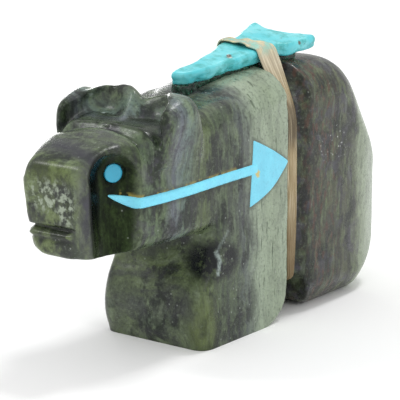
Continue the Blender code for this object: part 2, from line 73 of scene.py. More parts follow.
class BearSizes(bpy.types.PropertyGroup):
    """Sizes of the carving, the inlays and the tie"""
    block_grain: length("Block grain", "Mesh spacing while the blocks are joined", 0.38)
    skin_grain: length("Skin grain", "Mesh spacing of the polished stone", 0.28)
    polish: IntProperty(name="Polish", description="Rounds of smoothing over the carved stone", default=7,
                        min=0)
    brow_groove: length("Brow groove", "Depth of the line cut in front of the ears", 0.75)
    brow_roll: length("Brow roll", "Height of the roll behind that line", 0.35)
    brow_fall: length("Brow fall", "How far the forehead falls to the sides in front of the ears", 1.7)
    mouth_depth: length("Mouth depth", "Depth of the mouth line", 0.85)
    inlay_rise: length("Inlay rise", "How far the inlays stand out of the stone", 0.07)
    sinew_width: length("Sinew width", "Width of the flat sinew", 2.3)
    sinew_thickness: length("Sinew thickness", "Thickness of the sinew", 0.3)
    knapping: length("Knapping", "Depth of the flake scars on the arrowhead's sides", 0.38)


class BearColours(bpy.types.PropertyGroup):
    """Main colours of the stones, the sinew and the floor"""
    leaf_green: colour("Leaf green", "Middle green of the serpentine", "#4c5942")
    dark_green: colour("Dark green", "Darkest green of the serpentine", "#161d16")
    pale_green: colour("Pale green", "Pale bands of the serpentine", "#9dab95")
    dusk_purple: colour("Dusk purple", "Purple grey bands of the serpentine", "#4a4852")
    rust: colour("Rust", "Rusty specks in the rear block", "#5a3f35")
    sky: colour("Sky turquoise", "Inlays of the heartline", "#76d8f3")
    # the eyes' turquoise is painted darker as shade of the sockets it sits in
    eye: colour("Eye turquoise", "Darker inlays of the eyes", "#30a6c6")
    sea: colour("Sea turquoise", "Arrowhead on the back", "#52c8d2")
    fibre: colour("Sinew", "Dry sinew", "#cdbd97")
    floor: colour("Floor", "Studio floor", "#fafafa")


# small tools for shapes, all in millimetres
def sizes():
    """Sizes that a user can change, in metres."""
    return bpy.context.scene.bear_sizes


def colours():
    """Colours that a user can change, linear."""
    return bpy.context.scene.bear_colours


def smooth_line(points, closed, steps=6):
    """Catmull-Rom line through the given points."""
    count = len(points)
    spans = count if closed else count - 1
    line = []
    for i in range(spans):
        if closed:
            p0, p1, p2, p3 = (points[(i + k) % count] for k in (-1, 0, 1, 2))
        else:
            p0, p1, p2, p3 = (points[min(max(i + k, 0), count - 1)] for k in (-1, 0, 1, 2))
        for s in range(steps):
            t = s / steps
            line.append(tuple(
                0.5 * (2 * b + (c - a) * t + (2 * a - 5 * b + 4 * c - d) * t * t
                       + (3 * b - a - 3 * c + d) * t ** 3)
                for a, b, c, d in zip(p0, p1, p2, p3)))
    if not closed:
        line.append(tuple(points[-1]))
    return line


def ease(value, low, high):
    """0 below low, 1 above high and a smooth step between; low may be the larger one."""
    t = min(max((value - low) / (high - low), 0.0), 1.0)
    return t * t * (3 - 2 * t)


def link(name, data):
    """New object in the scene."""
    obj = bpy.data.objects.new(name, data)
    bpy.context.scene.collection.objects.link(obj)
    return obj


def discard(*objs):
    """Removes used up solids."""
    for obj in objs:
        bpy.data.objects.remove(obj, do_unlink=True)


def bake(obj, name):
    """Finished mesh of an object with its modifiers, as a new object; the old one goes."""
    bpy.context.view_layer.update()
    graph = bpy.context.evaluated_depsgraph_get()
    mesh = bpy.data.meshes.new_from_object(obj.evaluated_get(graph))
    bm = bmesh.new()
    bm.from_mesh(mesh)
    bmesh.ops.transform(bm, matrix=obj.matrix_world, verts=bm.verts)
    bmesh.ops.remove_doubles(bm, verts=bm.verts, dist=0.0005)
    bmesh.ops.recalc_face_normals(bm, faces=bm.faces)
    bm.to_mesh(mesh)
    bm.free()
    mesh.materials.clear()
    discard(obj)
    return link(name, mesh)


def plate(name, outline, half, rounding=0.0, plane="YZ"):
    """Outline drawn in a plane and extruded both ways, with rounded rims if asked."""
    curve = bpy.data.curves.new(name + "_outline", "CURVE")
    curve.dimensions = "2D"
    curve.fill_mode = "BOTH"
    curve.extrude = half - rounding
    curve.bevel_depth = rounding
    curve.bevel_resolution = 5
    curve.offset = -rounding
    spline = curve.splines.new("POLY")
    spline.points.add(len(outline) - 1)
    for point, (u, v) in zip(spline.points, outline):
        point.co = (u, v, 0.0, 1.0)
    spline.use_cyclic_u = True
    obj = link(name + "_curve", curve)
    if plane == "YZ":
        obj.matrix_world = Matrix(((0, 0, 1, 0), (1, 0, 0, 0), (0, 1, 0, 0), (0, 0, 0, 1)))
    elif plane == "XZ":
        obj.matrix_world = Matrix(((1, 0, 0, 0), (0, 0, -1, 0), (0, 1, 0, 0), (0, 0, 0, 1)))
    return bake(obj, name)


def moved(obj, matrix):
    """The solid with its mesh moved."""
    obj.data.transform(matrix)
    return obj


def combine(name, base, others, kind):
    """Base joined with, cut by or limited to the other solids; all of them are used up."""
    for other in others:
        step = base.modifiers.new("cut", "BOOLEAN")
        step.operation = kind
        step.solver = "EXACT"
        step.object = other
    solid = bake(base, name)
    discard(*others)
    return solid


def even_skin(name, parts, spacing):
    """Overlapping solids merged into one evenly meshed solid; they are used up."""
    bm = bmesh.new()
    for part in parts:
        bm.from_mesh(part.data)
    mesh = bpy.data.meshes.new(name + "_parts")
    bm.to_mesh(mesh)
    bm.free()
    discard(*parts)
    work = link(name + "_parts", mesh)
    step = work.modifiers.new("even", "REMESH")
    step.mode = "VOXEL"
    step.voxel_size = spacing
    return bake(work, name)


def round_bar(name, path, radius):
    """Round bar along a path, closed at both ends."""
    curve = bpy.data.curves.new(name + "_path", "CURVE")
    curve.dimensions = "3D"
    curve.bevel_depth = radius
    curve.bevel_resolution = 6
    curve.use_fill_caps = True
    spline = curve.splines.new("POLY")
    spline.points.add(len(path) - 1)
    for point, co in zip(spline.points, path):
        point.co = (*co, 1.0)
    return bake(link(name + "_curve", curve), name)


def mirrored(name, obj):
    """Copy of a solid for the other side, faces outwards."""
    copy = link(name, obj.data.copy())
    copy.data.transform(Matrix.Diagonal((-1, 1, 1, 1)))
    copy.data.flip_normals()
    return copy


def finish_piece(name, bm, node, material):
    """Puts a millimetre mesh in place of its CAD node, in metres, at the origin."""
    bmesh.ops.transform(bm, matrix=Matrix.Scale(MM, 4), verts=bm.verts)
    mesh = bpy.data.meshes.new(name)
    bm.to_mesh(mesh)
    bm.free()
    mesh.materials.clear()
    mesh.materials.append(material)
    mesh.shade_smooth()
    obj = link(name, mesh)
    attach(obj, "root")
    if node:
        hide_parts(node)
    return obj


# driving sizes of the carving, millimetres, the bear facing -Y
# half length of a tool that cuts right through
THROUGH = 30.0
# trunk and legs
CHEST_FACE = -7.4
BODY_HALF_WIDTH = 8.9
BODY_ROUNDING = 6.0
LEG_HALF_WIDTH = 8.6
LEG_SHIFT = -0.22
LEG_ROUNDING = 1.8
# head and muzzle
HEAD_HALF_WIDTH = 8.25
HEAD_ROUNDING = 2.7
HEAD_BOTTOM = 15.65
MUZZLE_FACE = -29.7
MUZZLE_DEPTH = 6.0
# ears and the hollows before them
EAR_TOP = 34.8
EAR_HALF_WIDTH = 9.9
# wear of the ears' upper edge: depth, place across the bear and half width, less than none at the crowns
EAR_WEAR = ((1.0, 0.8, 1.2), (0.7, -7.2, 1.3), (-0.85, -2.7, 2.1), (-0.2, 4.5, 1.6))
EAR_CUP_LOW = Vector((4.0, -19.7, 31.1))
EAR_CUP_HIGH = Vector((3.1, -18.0, 35.1))
EAR_CUP_RADIUS = 4.75
# eye sockets, brow line and mouth
SOCKET_RADIUS = 4.0
SOCKET_CENTRE = (7.7, -25.7)
SOCKET_TOP = 25.8
SOCKET_LEAN = 4.0
BROW_Y = -19.9
MOUTH_HEIGHT = 18.95
# waist and sinew; angles are in degrees
WAIST_Y = 11.5
WAIST_TURN = 7.9
SINEW_Y = 11.4
SINEW_LEAN_FROM = 28.0
# inlays
EYE_RADIUS = 1.22
EYE_CENTRE = (4.35, -23.45, 26.0)
EYE_TURN = 28.0
EYE_SEAT = 0.35
SHAFT_WIDTH = 1.45
SHAFT_START = Vector((-24.3, 23.3))
SHAFT_BEND = Vector((-21.9, 22.25))
SHAFT_END = Vector((1.75, 22.86))
POINT_TOP = Vector((0.8, 26.9))
POINT_TIP = Vector((9.6, 22.6))
POINT_BOTTOM = Vector((0.05, 17.7))
# arrowhead on the back
SLAB_THICKNESS = 2.1
SLAB_HEIGHT = 35.8
SLAB_SIDE_TILT = -0.15
SLAB_LONG_TILT = 0.13
# its mesh spacing and its rounds of smoothing
SLAB_GRAIN = 0.17
SLAB_SOFTENING = 7


def tapered(obj, widths):
    """Narrows a solid across, by the half widths given along its length."""
    for vertex in obj.data.vertices:
        y = vertex.co.y
        for (y0, w0), (y1, w1) in zip(widths, widths[1:]):
            if y <= y1 or (y1, w1) == widths[-1]:
                share = min(max((y - y0) / (y1 - y0), 0.0), 1.0)
                vertex.co.x *= (w0 + (w1 - w0) * share) / HEAD_HALF_WIDTH
                break
    return obj


def carved_torso(grain):
    """Trunk from chest to rump: side view block limited by the plan of its flanks."""
    back = [(CHEST_FACE - 2.0, 31.1), (-5.0, 32.7), (0.0, 33.9), (5.0, 34.8), (10.0, 35.4), (15.0, 35.7),
            (20.0, 35.7), (24.2, 35.0), (26.9, 33.4), (28.8, 31.2), (30.4, 28.8), (31.9, 26.4), (33.4, 24.0),
            (34.9, 21.4), (36.6, 18.2), (37.9, 15.0), (38.2, 11.5), (36.6, 7.6), (34.6, 4.3), (32.3, 1.5),
            (29.4, -0.8)]
    side = smooth_line(back, False, 3) + [(16.0, -0.8), (4.0, -5.0), (CHEST_FACE - 7.0, -5.0),
                                          (CHEST_FACE - 7.0, 29.6)]
    block = even_skin("body_even", [plate("body_block", side, BODY_HALF_WIDTH, BODY_ROUNDING)], grain)
    flank = smooth_line([(5.4, CHEST_FACE), (7.2, CHEST_FACE + 0.6), (8.1, CHEST_FACE + 2.2), (8.3, -2.5),
                         (8.4, 1.0), (8.4, 5.5), (8.25, 9.0), (8.4, 12.5), (8.7, 15.0), (8.85, 19.0),
                         (8.8, 24.0), (8.4, 28.5), (7.6, 31.9), (6.4, 34.7), (4.6, 36.7), (2.3, 37.7)],
                        False, 4)
    plan = plate("body_plan", flank + [(-x, y) for x, y in reversed(flank)], 2 * THROUGH, 0.0, "XY")
    return combine("torso", block, [plan], "INTERSECT")


def carved_legs():
    """Front of the leg block, up to the chest."""
    front = smooth_line([(-9.5, -3.0), (-10.0, 0.0), (-10.8, 2.2), (-11.0, 5.0), (-10.2, 8.0), (-8.6, 11.0),
                         (-7.6, 14.0), (-7.3, 18.0), (-7.2, 22.0)], False, 3)
    legs = plate("front_legs", front + [(5.0, 22.0), (5.0, -3.0)], LEG_HALF_WIDTH, LEG_ROUNDING)
    return moved(legs, Matrix.Translation((LEG_SHIFT, 0, 0)))


def carved_head(grain):
    """Head and neck block, and the flat muzzle in front of it."""
    top = smooth_line([(-33.5, 23.5), (-29.9, 27.0), (-28.9, 28.0), (-26.8, 29.1), (-24.5, 29.9),
                       (-22.0, 30.6), (-19.0, 31.0), (-14.0, 31.4), (-9.0, 31.8), (-3.0, 32.8)], False, 3)
    side = top + [(3.0, 32.8), (3.0, HEAD_BOTTOM), (-33.5, HEAD_BOTTOM)]
    widths = [(-27.6, 5.65), (-21.8, 7.3), (-18.0, 7.9), (-13.0, HEAD_HALF_WIDTH), (0.0, HEAD_HALF_WIDTH)]
    block = even_skin("head_even", [plate("head_plate", side, HEAD_HALF_WIDTH, HEAD_ROUNDING)], grain)
    tapered(block, widths)
    behind = plate("behind_face", [(-40, 0), (40, 0), (40, 60), (-40, 60)], THROUGH, 0.0, "XZ")
    moved(behind, Matrix.Translation((0, MUZZLE_FACE + 31.3, 0)))
    snout_limit = link("snout_limit", block.data.copy())
    head = combine("head", block, [behind], "INTERSECT")
    right = [(5.3, 29.6), (5.65, 25.0), (5.0, 20.4), (4.5, 18.8)]
    for k in range(7):
        angle = math.radians(15 * k)
        right.append((1.8 + 2.6 * math.cos(angle), HEAD_BOTTOM + 2.6 - 2.6 * math.sin(angle)))
    face = right + [(-x, z) for x, z in reversed(right)]
    snout = plate("muzzle_block", face, MUZZLE_DEPTH / 2, 0.8, "XZ")
    moved(snout, Matrix.Translation((0, MUZZLE_FACE + MUZZLE_DEPTH / 2, 0)))
    snout = combine("muzzle", even_skin("muzzle_even", [snout], grain), [snout_limit], "INTERSECT")
    return head, snout


def ear_cup():
    """Leaning round hollow in front of the left ear, its floor falling back and sideways."""
    lean = (EAR_CUP_HIGH - EAR_CUP_LOW) / (EAR_CUP_HIGH.z - EAR_CUP_LOW.z)
    depth = 6.0
    bm = bmesh.new()
    bmesh.ops.create_cone(bm, cap_ends=True, cap_tris=True, segments=48, radius1=EAR_CUP_RADIUS,
                          radius2=EAR_CUP_RADIUS, depth=depth)
    for vertex in bm.verts:
        x = vertex.co.x + EAR_CUP_LOW.x
        y = vertex.co.y + EAR_CUP_LOW.y
        rise = vertex.co.z + depth / 2
        z = EAR_CUP_LOW.z + rise - 0.04 * x * x - 0.35 * (y + 18.6)
        vertex.co = (x + lean.x * rise, y + lean.y * rise, z)
    mesh = bpy.data.meshes.new("ear_cup")
    bm.to_mesh(mesh)
    bm.free()
    return link("ear_cup", mesh)


def carved_ears(grain):
    """Block of both ears, hollowed in front."""
    side = smooth_line([(-19.5, 26.0), (-19.5, 30.8), (-19.0, 32.8), (-17.4, EAR_TOP - 0.8), (-15.2, EAR_TOP),
                        (-13.0, EAR_TOP), (-11.6, 33.2), (-10.9, 31.2), (-10.5, 28.8), (-10.4, 26.0)],
                        False, 3)
    ears = even_skin("ears_even", [plate("ear_block", side, EAR_HALF_WIDTH, 2.4)], grain)
    left = [(-10.9, 38.0), (-9.9, 32.6), (-9.5, 30.2), (-8.8, 27.4), (-7.9, 24.6)]
    taper = plate("ear_taper", left + [(-x, z) for x, z in reversed(left)], 60.0, 0.0, "XZ")
    ears = combine("ears_tapered", ears, [taper], "INTERSECT")
    cup = ear_cup()
    return combine("ears_scooped", ears, [cup, mirrored("ear_cup_right", cup)], "DIFFERENCE")


def socket_tool(side):
    """Round-ended grinding tool that hollows one eye socket."""
    profile = [(0.0, -16.0), (SOCKET_RADIUS, -16.0)]
    for i in range(13):
        angle = math.pi / 24 * i
        profile.append((SOCKET_RADIUS * math.cos(angle), SOCKET_RADIUS * math.sin(angle)))
    bm = bmesh.new()
    verts = [bm.verts.new((r, 0.0, z)) for r, z in profile]
    edges = [bm.edges.new(pair) for pair in zip(verts, verts[1:])]
    bmesh.ops.spin(bm, geom=verts + edges, cent=(0, 0, 0), axis=(0, 0, 1), angle=2 * math.pi, steps=48,
                   use_merge=True)
    bmesh.ops.remove_doubles(bm, verts=bm.verts, dist=0.0005)
    bmesh.ops.recalc_face_normals(bm, faces=bm.faces)
    mesh = bpy.data.meshes.new("socket")
    bm.to_mesh(mesh)
    bm.free()
    tool = link("socket_tool", mesh)
    lean = Matrix.Rotation(math.radians(-side * SOCKET_LEAN), 4, "Y")
    return moved(tool, Matrix.Translation((side * SOCKET_CENTRE[0], SOCKET_CENTRE[1], SOCKET_TOP)) @ lean)


def belly_gap():
    """Tool for the arch under the belly, drawn from the side, from the front leg to the rear one."""
    front, rear, high = 9.6, 13.95, 5.7
    line = [(0.4, -9.0), (4.0, -0.3)]
    for k in range(1, 7):
        angle = math.radians(15 * k)
        line.append((front - 4.6 * (1 - math.sin(angle)), 4.6 * (1 - math.cos(angle)) + 0.1))
    line += [(front + 0.5, high - 0.4), (front + 1.3, high), (rear - 1.3, high), (rear - 0.4, high - 0.5)]
    for k in range(6, -1, -1):
        angle = math.radians(15 * k)
        line.append((rear + 3.6 * (1 - math.sin(angle)), 3.6 * (1 - math.cos(angle)) + 0.1))
    line.append((rear + 7.2, -9.0))
    return plate("arch", line, THROUGH)


def waist_tool():
    """Round edge that grinds the waist for the sinew, over both flanks and the back."""
    radius, depth = 2.5, 1.3
    out = radius - depth
    half, top, turn = 8.35 + out, 35.5 + out, WAIST_TURN + out
    right = [(half, -6.0)]
    for k in range(9):
        angle = math.radians(90 * k / 8)
        right.append((half - turn * (1 - math.cos(angle)), top - turn * (1 - math.sin(angle))))
    path = [(x, WAIST_Y, z) for x, z in right + [(-x, z) for x, z in reversed(right)]]
    return round_bar("waist_tool", path, radius)


def socket_share(co):
    """1 deep in an eye socket, fading out over its rear slope and sharp at its front rim."""
    lean = math.tan(math.radians(SOCKET_LEAN)) * max(SOCKET_TOP - co.z, 0.0)
    across = abs(co.x) - SOCKET_CENTRE[0] - lean
    along = co.y - SOCKET_CENTRE[1]
    up = max(co.z - SOCKET_TOP, 0.0)
    distance = math.sqrt(across * across + along * along + up * up)
    depth = 5.65 + 0.284 * (co.y + 27.6) - abs(co.x)
    inside = max(ease(depth, 0.0, 1.3), ease(co.y, -25.8, -27.0))
    return ease(distance, SOCKET_RADIUS + 0.5, SOCKET_RADIUS + 0.1) * inside * ease(co.z, 30.5, 27.0)


def shaft_line():
    """Middle of the heartline's strip seen from the side."""
    return [SHAFT_START, SHAFT_BEND, SHAFT_END]


def off_line(point, line):
    """Distance of a 2D point from a broken line, and whether it lies above it."""
    best = (1e9, False)
    for a, b in zip(line, line[1:]):
        run = b - a
        share = min(max((point - a).dot(run) / run.length_squared, 0.0), 1.0)
        gap = point - (a + run * share)
        if gap.length < best[0]:
            best = (gap.length, gap.y > 0)
    return best


def point_edge():
    """Outline of the heartline's arrowhead seen from the side, its lower edge bowed."""
    line = [POINT_TOP, POINT_TIP]
    for k in range(1, 6):
        line.append(POINT_TIP.lerp(POINT_BOTTOM, k / 5) + Vector((0.35, -0.75)) * math.sin(math.pi * k / 5))
    return line + [POINT_TOP]


def groove_depth(co):
    """Extra carving over the polished form: mouth line, brow line and the roll behind it."""
    depth = 0.0
    reach = co.y - BROW_Y + 0.1 * abs(co.x)
    if abs(reach) < 3 and co.z > 27.5:
        fade = ease(abs(co.x), 9.6, 8.8) * ease(co.z, 28.0, 29.3)
        depth += sizes().brow_groove / MM * math.exp(-(reach / 0.42) ** 2) * fade
        depth -= sizes().brow_roll / MM * math.exp(-((reach - 1.0) / 0.55) ** 2) * fade
    if co.y < MUZZLE_FACE + 1.8 and abs(co.z - MOUTH_HEIGHT) < 1.9:
        level = mouth_level(co)
        fade = ease(co.x, 3.9, 1.9)
        cut = ease(level, 0.6, 0.32) if level > 0.32 else ease(level, -0.5, 0.3)
        depth += sizes().mouth_depth / MM * cut * fade
        depth -= 0.26 * math.exp(-((level + 0.7) / 0.26) ** 2) * fade
        depth += 0.22 * math.exp(-((level + 1.15) / 0.28) ** 2) * fade
    return depth


def mouth_level(co):
    """Height above the middle of the mouth line, which rises a little to the bear's left."""
    return co.z - MOUTH_HEIGHT - 0.3 - 0.02 * co.x


def brow_fall(co):
    """How much the forehead falls away to the sides just in front of the ears."""
    if co.z < 24.0 or co.y > -18.6 or co.y < -26.0:
        return 0.0
    front = math.exp(-((co.y + 21.2) / 2.0) ** 2) if co.y < -21.2 else 1.0
    fall = sizes().brow_fall / MM * min((co.x / 8.0) ** 2, 1.1)
    return fall * front * ease(co.y, -18.7, -20.4) * ease(co.z, 24.0, 30.5)


def ear_wear(co):
    """How far the ears lie below the sawn block: worn at the outer end and between, less at the crowns."""
    if co.z < 32.0 or co.y > -9.0:
        return 0.0
    worn = sum(deep * math.exp(-((co.x - place) / wide) ** 2) for deep, place, wide in EAR_WEAR)
    return worn * ease(co.z, 32.0, 34.0) * ease(co.y, -9.0, -11.5)


def carve_skin():
    """The whole bear in millimetres, polished and with its fine lines, as a bmesh."""
    grain = sizes().block_grain / MM
    head, snout = carved_head(grain)
    blocks = [carved_torso(grain), carved_legs(), head, snout, carved_ears(grain)]
    rough = even_skin("rough_block", blocks, grain)
    tools = [socket_tool(1), socket_tool(-1), belly_gap(), waist_tool()]
    rough = combine("rough_carved", rough, tools, "DIFFERENCE")
    even = rough.modifiers.new("even", "REMESH")
    even.mode = "VOXEL"
    even.voxel_size = sizes().skin_grain / MM
    polish = rough.modifiers.new("polish", "SMOOTH")
    polish.factor = 0.5
    polish.iterations = sizes().polish
    skin = bake(rough, "skin")
    bm = bmesh.new()
    bm.from_mesh(skin.data)
    discard(skin)
    bmesh.ops.bisect_plane(bm, geom=bm.verts[:] + bm.edges[:] + bm.faces[:], dist=0.0001,
                           plane_co=(0, 0, 0), plane_no=(0, 0, -1), clear_outer=True)
    bmesh.ops.holes_fill(bm, edges=[edge for edge in bm.edges if edge.is_boundary], sides=0)
    bm.normal_update()
    moves = []
    for vertex in bm.verts:
        co = vertex.co
        wave = noise.noise(co * 0.35) * 0.05 + noise.noise(co * 1.1) * 0.018
        if co.z < 0.3:
            wave = 0.0
        moves.append(vertex.normal * (wave - groove_depth(co)) - Vector((0, 0, brow_fall(co) + ear_wear(co))))
    for vertex, move in zip(bm.verts, moves):
        vertex.co += move
    brow = [vertex for vertex in bm.verts if vertex.co.z > 26.5 and -23.0 < vertex.co.y < -18.0]
    ears = [vertex for vertex in bm.verts if vertex.co.z > 30.2 and -19.2 < vertex.co.y < -9.5]
    snout = [vertex for vertex in bm.verts if vertex.co.z > 25.4 and vertex.co.y < -27.9]
    for verts, rounds in ((brow, 2), (ears, 6), (snout, 12)):
        for _ in range(rounds):
            bmesh.ops.smooth_vert(bm, verts=verts, factor=0.5, use_axis_x=True, use_axis_y=True,
                                  use_axis_z=True)
    return bm


def seat_eyes(bm):
    """Sinks the stone to a flat seat under each eye disc, EYE_SEAT below the middle of its face."""
    _, seat_y, seat_z = EYE_CENTRE
    for side in (1, -1):
        place = eye_place(side)
        back = place.inverted()
        for vertex in bm.verts:
            if vertex.co.x * side < 1.0 or abs(vertex.co.y - seat_y) > 4 or abs(vertex.co.z - seat_z) > 3:
                continue
            local = back @ vertex.co
            if math.hypot(local.x, local.y) < EYE_RADIUS + 0.06 and local.z > -EYE_SEAT:
                vertex.co = place @ Vector((local.x, local.y, -EYE_SEAT))


def near_line(co, line, wide):
    """1 on a thin 3-D line, fading out at the given distance."""
    best = 1e9
    for start, end in zip(line, line[1:]):
        run = end - start
        along = min(max((co - start).dot(run) / run.length_squared, 0.0), 1.0)
        best = min(best, (co - start - run * along).length)
    return ease(best, wide, wide * 0.3)


def within(co, centre, radii, soft=0.35):
    """1 inside a box-fitting ellipsoid, fading to 0 a little outside it."""
    gap = math.sqrt(sum(((a - b) / r) ** 2 for a, b, r in zip(co, centre, radii)))
    return ease(gap, 1.2, soft)


# marks stored on the stone for its material, each from 0 to 1: the eye sockets, which are painted darker as
# shade, and the painted shade on their front wall, the cut lines with painted shade in them, the dark joint
# and the gold round the inlays, the pale mottling, side stripe and dark band of the muzzle, the ears' hollows
# with painted shade in them, the speckled flank, the blackish patch and white veins of the chest, the olive
SHARES = ("socket", "socket_wall_shade", "line", "joint", "gold", "muzzle", "stripe", "band", "ear_hollow_shade", "fleck", "patch",
          "vein", "olive")


def paint_shares(bm):
    """Stores where the stone is recessed, jointed, speckled or patched, and where shade is painted in its
    hollows and cut lines, for its material.
    """
    layers = {name: bm.verts.layers.float.new(name) for name in SHARES}
    edge = point_edge()
    lean = (EAR_CUP_HIGH - EAR_CUP_LOW) / (EAR_CUP_HIGH.z - EAR_CUP_LOW.z)
    veins = [([Vector((8.1, -7.0, 12.9)), Vector((8.35, -6.5, 11.8)), Vector((8.4, -7.0, 10.1))], 0.42, 1.0),
             ([Vector((8.3, -4.8, 15.6)), Vector((8.2, -7.0, 13.1))], 0.3, 0.5),
             ([Vector((-6.6, -14.9, 33.8)), Vector((-5.2, -14.8, 32.3)), Vector((-4.3, -14.7, 31.2))],
              0.33, 1.0)]
    for vertex in bm.verts:
        co = vertex.co
        flat = Vector((co.y, co.z))
        # the eye sockets are painted darker as shade of the recess, and their reflection is dimmed
        hollow = socket_share(co)
        vertex[layers["socket"]] = hollow
        # painted shade, the darkest, on the front wall of each socket just behind the muzzle
        vertex[layers["socket_wall_shade"]] = hollow * ease(co.y, -25.0, -26.4) * ease(co.z, 17.5, 22.0)
        # painted shade in the brow and mouth lines, and a painted line of shade under the lower lip
        line = min(max((groove_depth(co) - 0.1) / 0.6, 0.0), 1.0)
        if co.y < -26.0:
            line = line * ease(mouth_level(co), -0.35, 0.0)
            line = max(line, 0.8 * math.exp(-((mouth_level(co) + 1.15) / 0.25) ** 2) * ease(co.x, 3.6, 2.8)
                       * ease(co.y, -28.6, -29.2))
        vertex[layers["line"]] = line
        joint = gold = 0.0
        if abs(co.x) > 3.0 and 16.0 < co.z < 28.5 and -25.5 < co.y < 11:
            gap, above = off_line(flat, shaft_line())
            beyond = gap - SHAFT_WIDTH / 2
            joint = ease(abs(beyond), 0.55, 0.1)
            joint = max(joint, ease(off_line(flat, edge)[0], 0.5, 0.1))
            eye = (Vector(EYE_CENTRE) - Vector((abs(co.x), co.y, co.z))).length
            joint = max(joint, ease(abs(eye - EYE_RADIUS), 0.4, 0.1))
            if above and co.y > -23.0:
                gold = ease(beyond, 0.38, 0.05)
        vertex[layers["joint"]] = joint
        vertex[layers["gold"]] = gold
        mottled = max(within(co, (-0.6, -29.7, 23.5), (4.3, 9, 2.3), 0.5),
                      within(co, (1.9, -29.7, 22.0), (1.8, 9, 2.4), 0.5))
        vertex[layers["muzzle"]] = ease(co.y, -28.9, -29.3) * mottled
        vertex[layers["stripe"]] = ease(co.y, -26.6, -27.4) * ease(co.x, 2.2, 5.0) * ease(co.z, 29.5, 28.0)
        wrap = math.exp(-((co.y + 26.7 + 0.26 * co.x) / 1.15) ** 2)
        vertex[layers["band"]] = wrap * ease(co.z, 27.6, 28.6) * ease(co.x, -5.5, -2.5)
        # painted shade in the ears' hollows, darker in the near ear than in the far one
        axis = EAR_CUP_LOW + lean * (co.z - EAR_CUP_LOW.z)
        cup = math.hypot(abs(co.x) - axis.x, co.y - axis.y)
        vertex[layers["ear_hollow_shade"]] = (ease(cup, 5.15, 4.75) * ease(co.z, 30.2, 31.1) * ease(co.y, -19.8, -19.2)
                                    * (1.0 if co.x > 0.6 else 0.55))
        vertex[layers["fleck"]] = within(co, (8.8, 20.2, 23.5), (4, 4.6, 3.2)) if co.x > 0 else 0.0
        vertex[layers["patch"]] = within(co, (7.6, -6.6, 11.7), (4.6, 5.0, 2.9), 0.6)
        vertex[layers["vein"]] = max(near_line(co, line, wide) * full for line, wide, full in veins)
        vertex[layers["olive"]] = max(within(co, (8.0, -9.6, 3.4), (2.6, 2.6, 4.4)),
                                      0.9 * within(co, (-0.6, -29.4, 26.4), (4.6, 1.3, 1.7)))


def earlier_piece(name):
    """A piece that an earlier step made."""
    if name not in bpy.data.objects:
        raise RuntimeError("make %s first" % name)
    return bpy.data.objects[name]


def skin_tree():
    """Search tree and points of the finished stone, in millimetres."""
    mesh = earlier_piece("carved_bear").data
    bm = bmesh.new()
    bm.from_mesh(mesh)
    bmesh.ops.transform(bm, matrix=Matrix.Scale(1 / MM, 4), verts=bm.verts)
    tree = BVHTree.FromBMesh(bm)
    points = [vertex.co.copy() for vertex in bm.verts]
    bm.free()
    return tree, points


def eye_place(side):
    """Lies a disc in the left or right socket, its face turned outwards."""
    turn = Matrix.Rotation(math.radians(-EYE_TURN), 4, "Z")
    lie = Matrix.Rotation(math.radians(90), 4, "Y")
    place = Matrix.Translation(EYE_CENTRE) @ turn @ lie
    if side < 0:
        mirror = Matrix.Diagonal((-1, 1, 1, 1))
        return mirror @ place @ mirror
    return place


def eye_disc(side):
    """Turned disc with a rounded rim and a slight dome."""
    bm = bmesh.new()
    bmesh.ops.create_cone(bm, cap_ends=True, segments=56, radius1=EYE_RADIUS, radius2=EYE_RADIUS, depth=1.3)
    top = [edge for edge in bm.edges if all(v.co.z > 0 for v in edge.verts)]
    bmesh.ops.bevel(bm, geom=top, offset=0.16, offset_type="OFFSET", segments=4, profile=0.5, affect="EDGES",
                    material=-1, clamp_overlap=True)
    lid = [face for face in bm.faces if face.normal.z > 0.99 and len(face.verts) > 8]
    for width in (0.2, 0.25, 0.3):
        bmesh.ops.inset_region(bm, faces=lid, thickness=width, depth=0.0)
    for vertex in bm.verts:
        if vertex.co.z > 0.6:
            vertex.co.z += 0.07 * (1 - (math.hypot(vertex.co.x, vertex.co.y) / EYE_RADIUS) ** 2)
    rise = sizes().inlay_rise / MM
    bmesh.ops.transform(bm, matrix=eye_place(side) @ Matrix.Translation((0, 0, rise - 0.65)), verts=bm.verts)
    bmesh.ops.recalc_face_normals(bm, faces=bm.faces)
    return bm


def laid_sheet(tree, side, across, along, place, rise):
    """A grid laid on one flank: place gives the side view point and its distance from the rim."""
    bm = bmesh.new()
    bmesh.ops.create_grid(bm, x_segments=along, y_segments=across, size=1.0)
    for vertex in bm.verts:
        point, rim = place((vertex.co.x + 1) / 2, vertex.co.y)
        hit = tree.ray_cast(Vector((side * 16.0, point.x, point.y)), Vector((-side, 0, 0)))[0]
        lift = rise - (rise + 0.03) * (1 - ease(rim, 0.0, 0.22))
        vertex.co = (hit.x + side * lift, point.x, point.y)
    bmesh.ops.remove_doubles(bm, verts=bm.verts, dist=0.004)
    bm.normal_update()
    if sum(face.normal.x for face in bm.faces) * side < 0:
        bmesh.ops.reverse_faces(bm, faces=bm.faces)
    top = bm.faces[:]
    under = bmesh.ops.duplicate(bm, geom=top)
    low = [item for item in under["geom"] if isinstance(item, bmesh.types.BMVert)]
    bmesh.ops.translate(bm, vec=(-side * 0.9, 0, 0), verts=low)
    turned = [item for item in under["geom"] if isinstance(item, bmesh.types.BMFace)]
    bmesh.ops.reverse_faces(bm, faces=turned)
    bmesh.ops.bridge_loops(bm, edges=[edge for edge in bm.edges if edge.is_boundary])
    bmesh.ops.recalc_face_normals(bm, faces=bm.faces)
    return bm


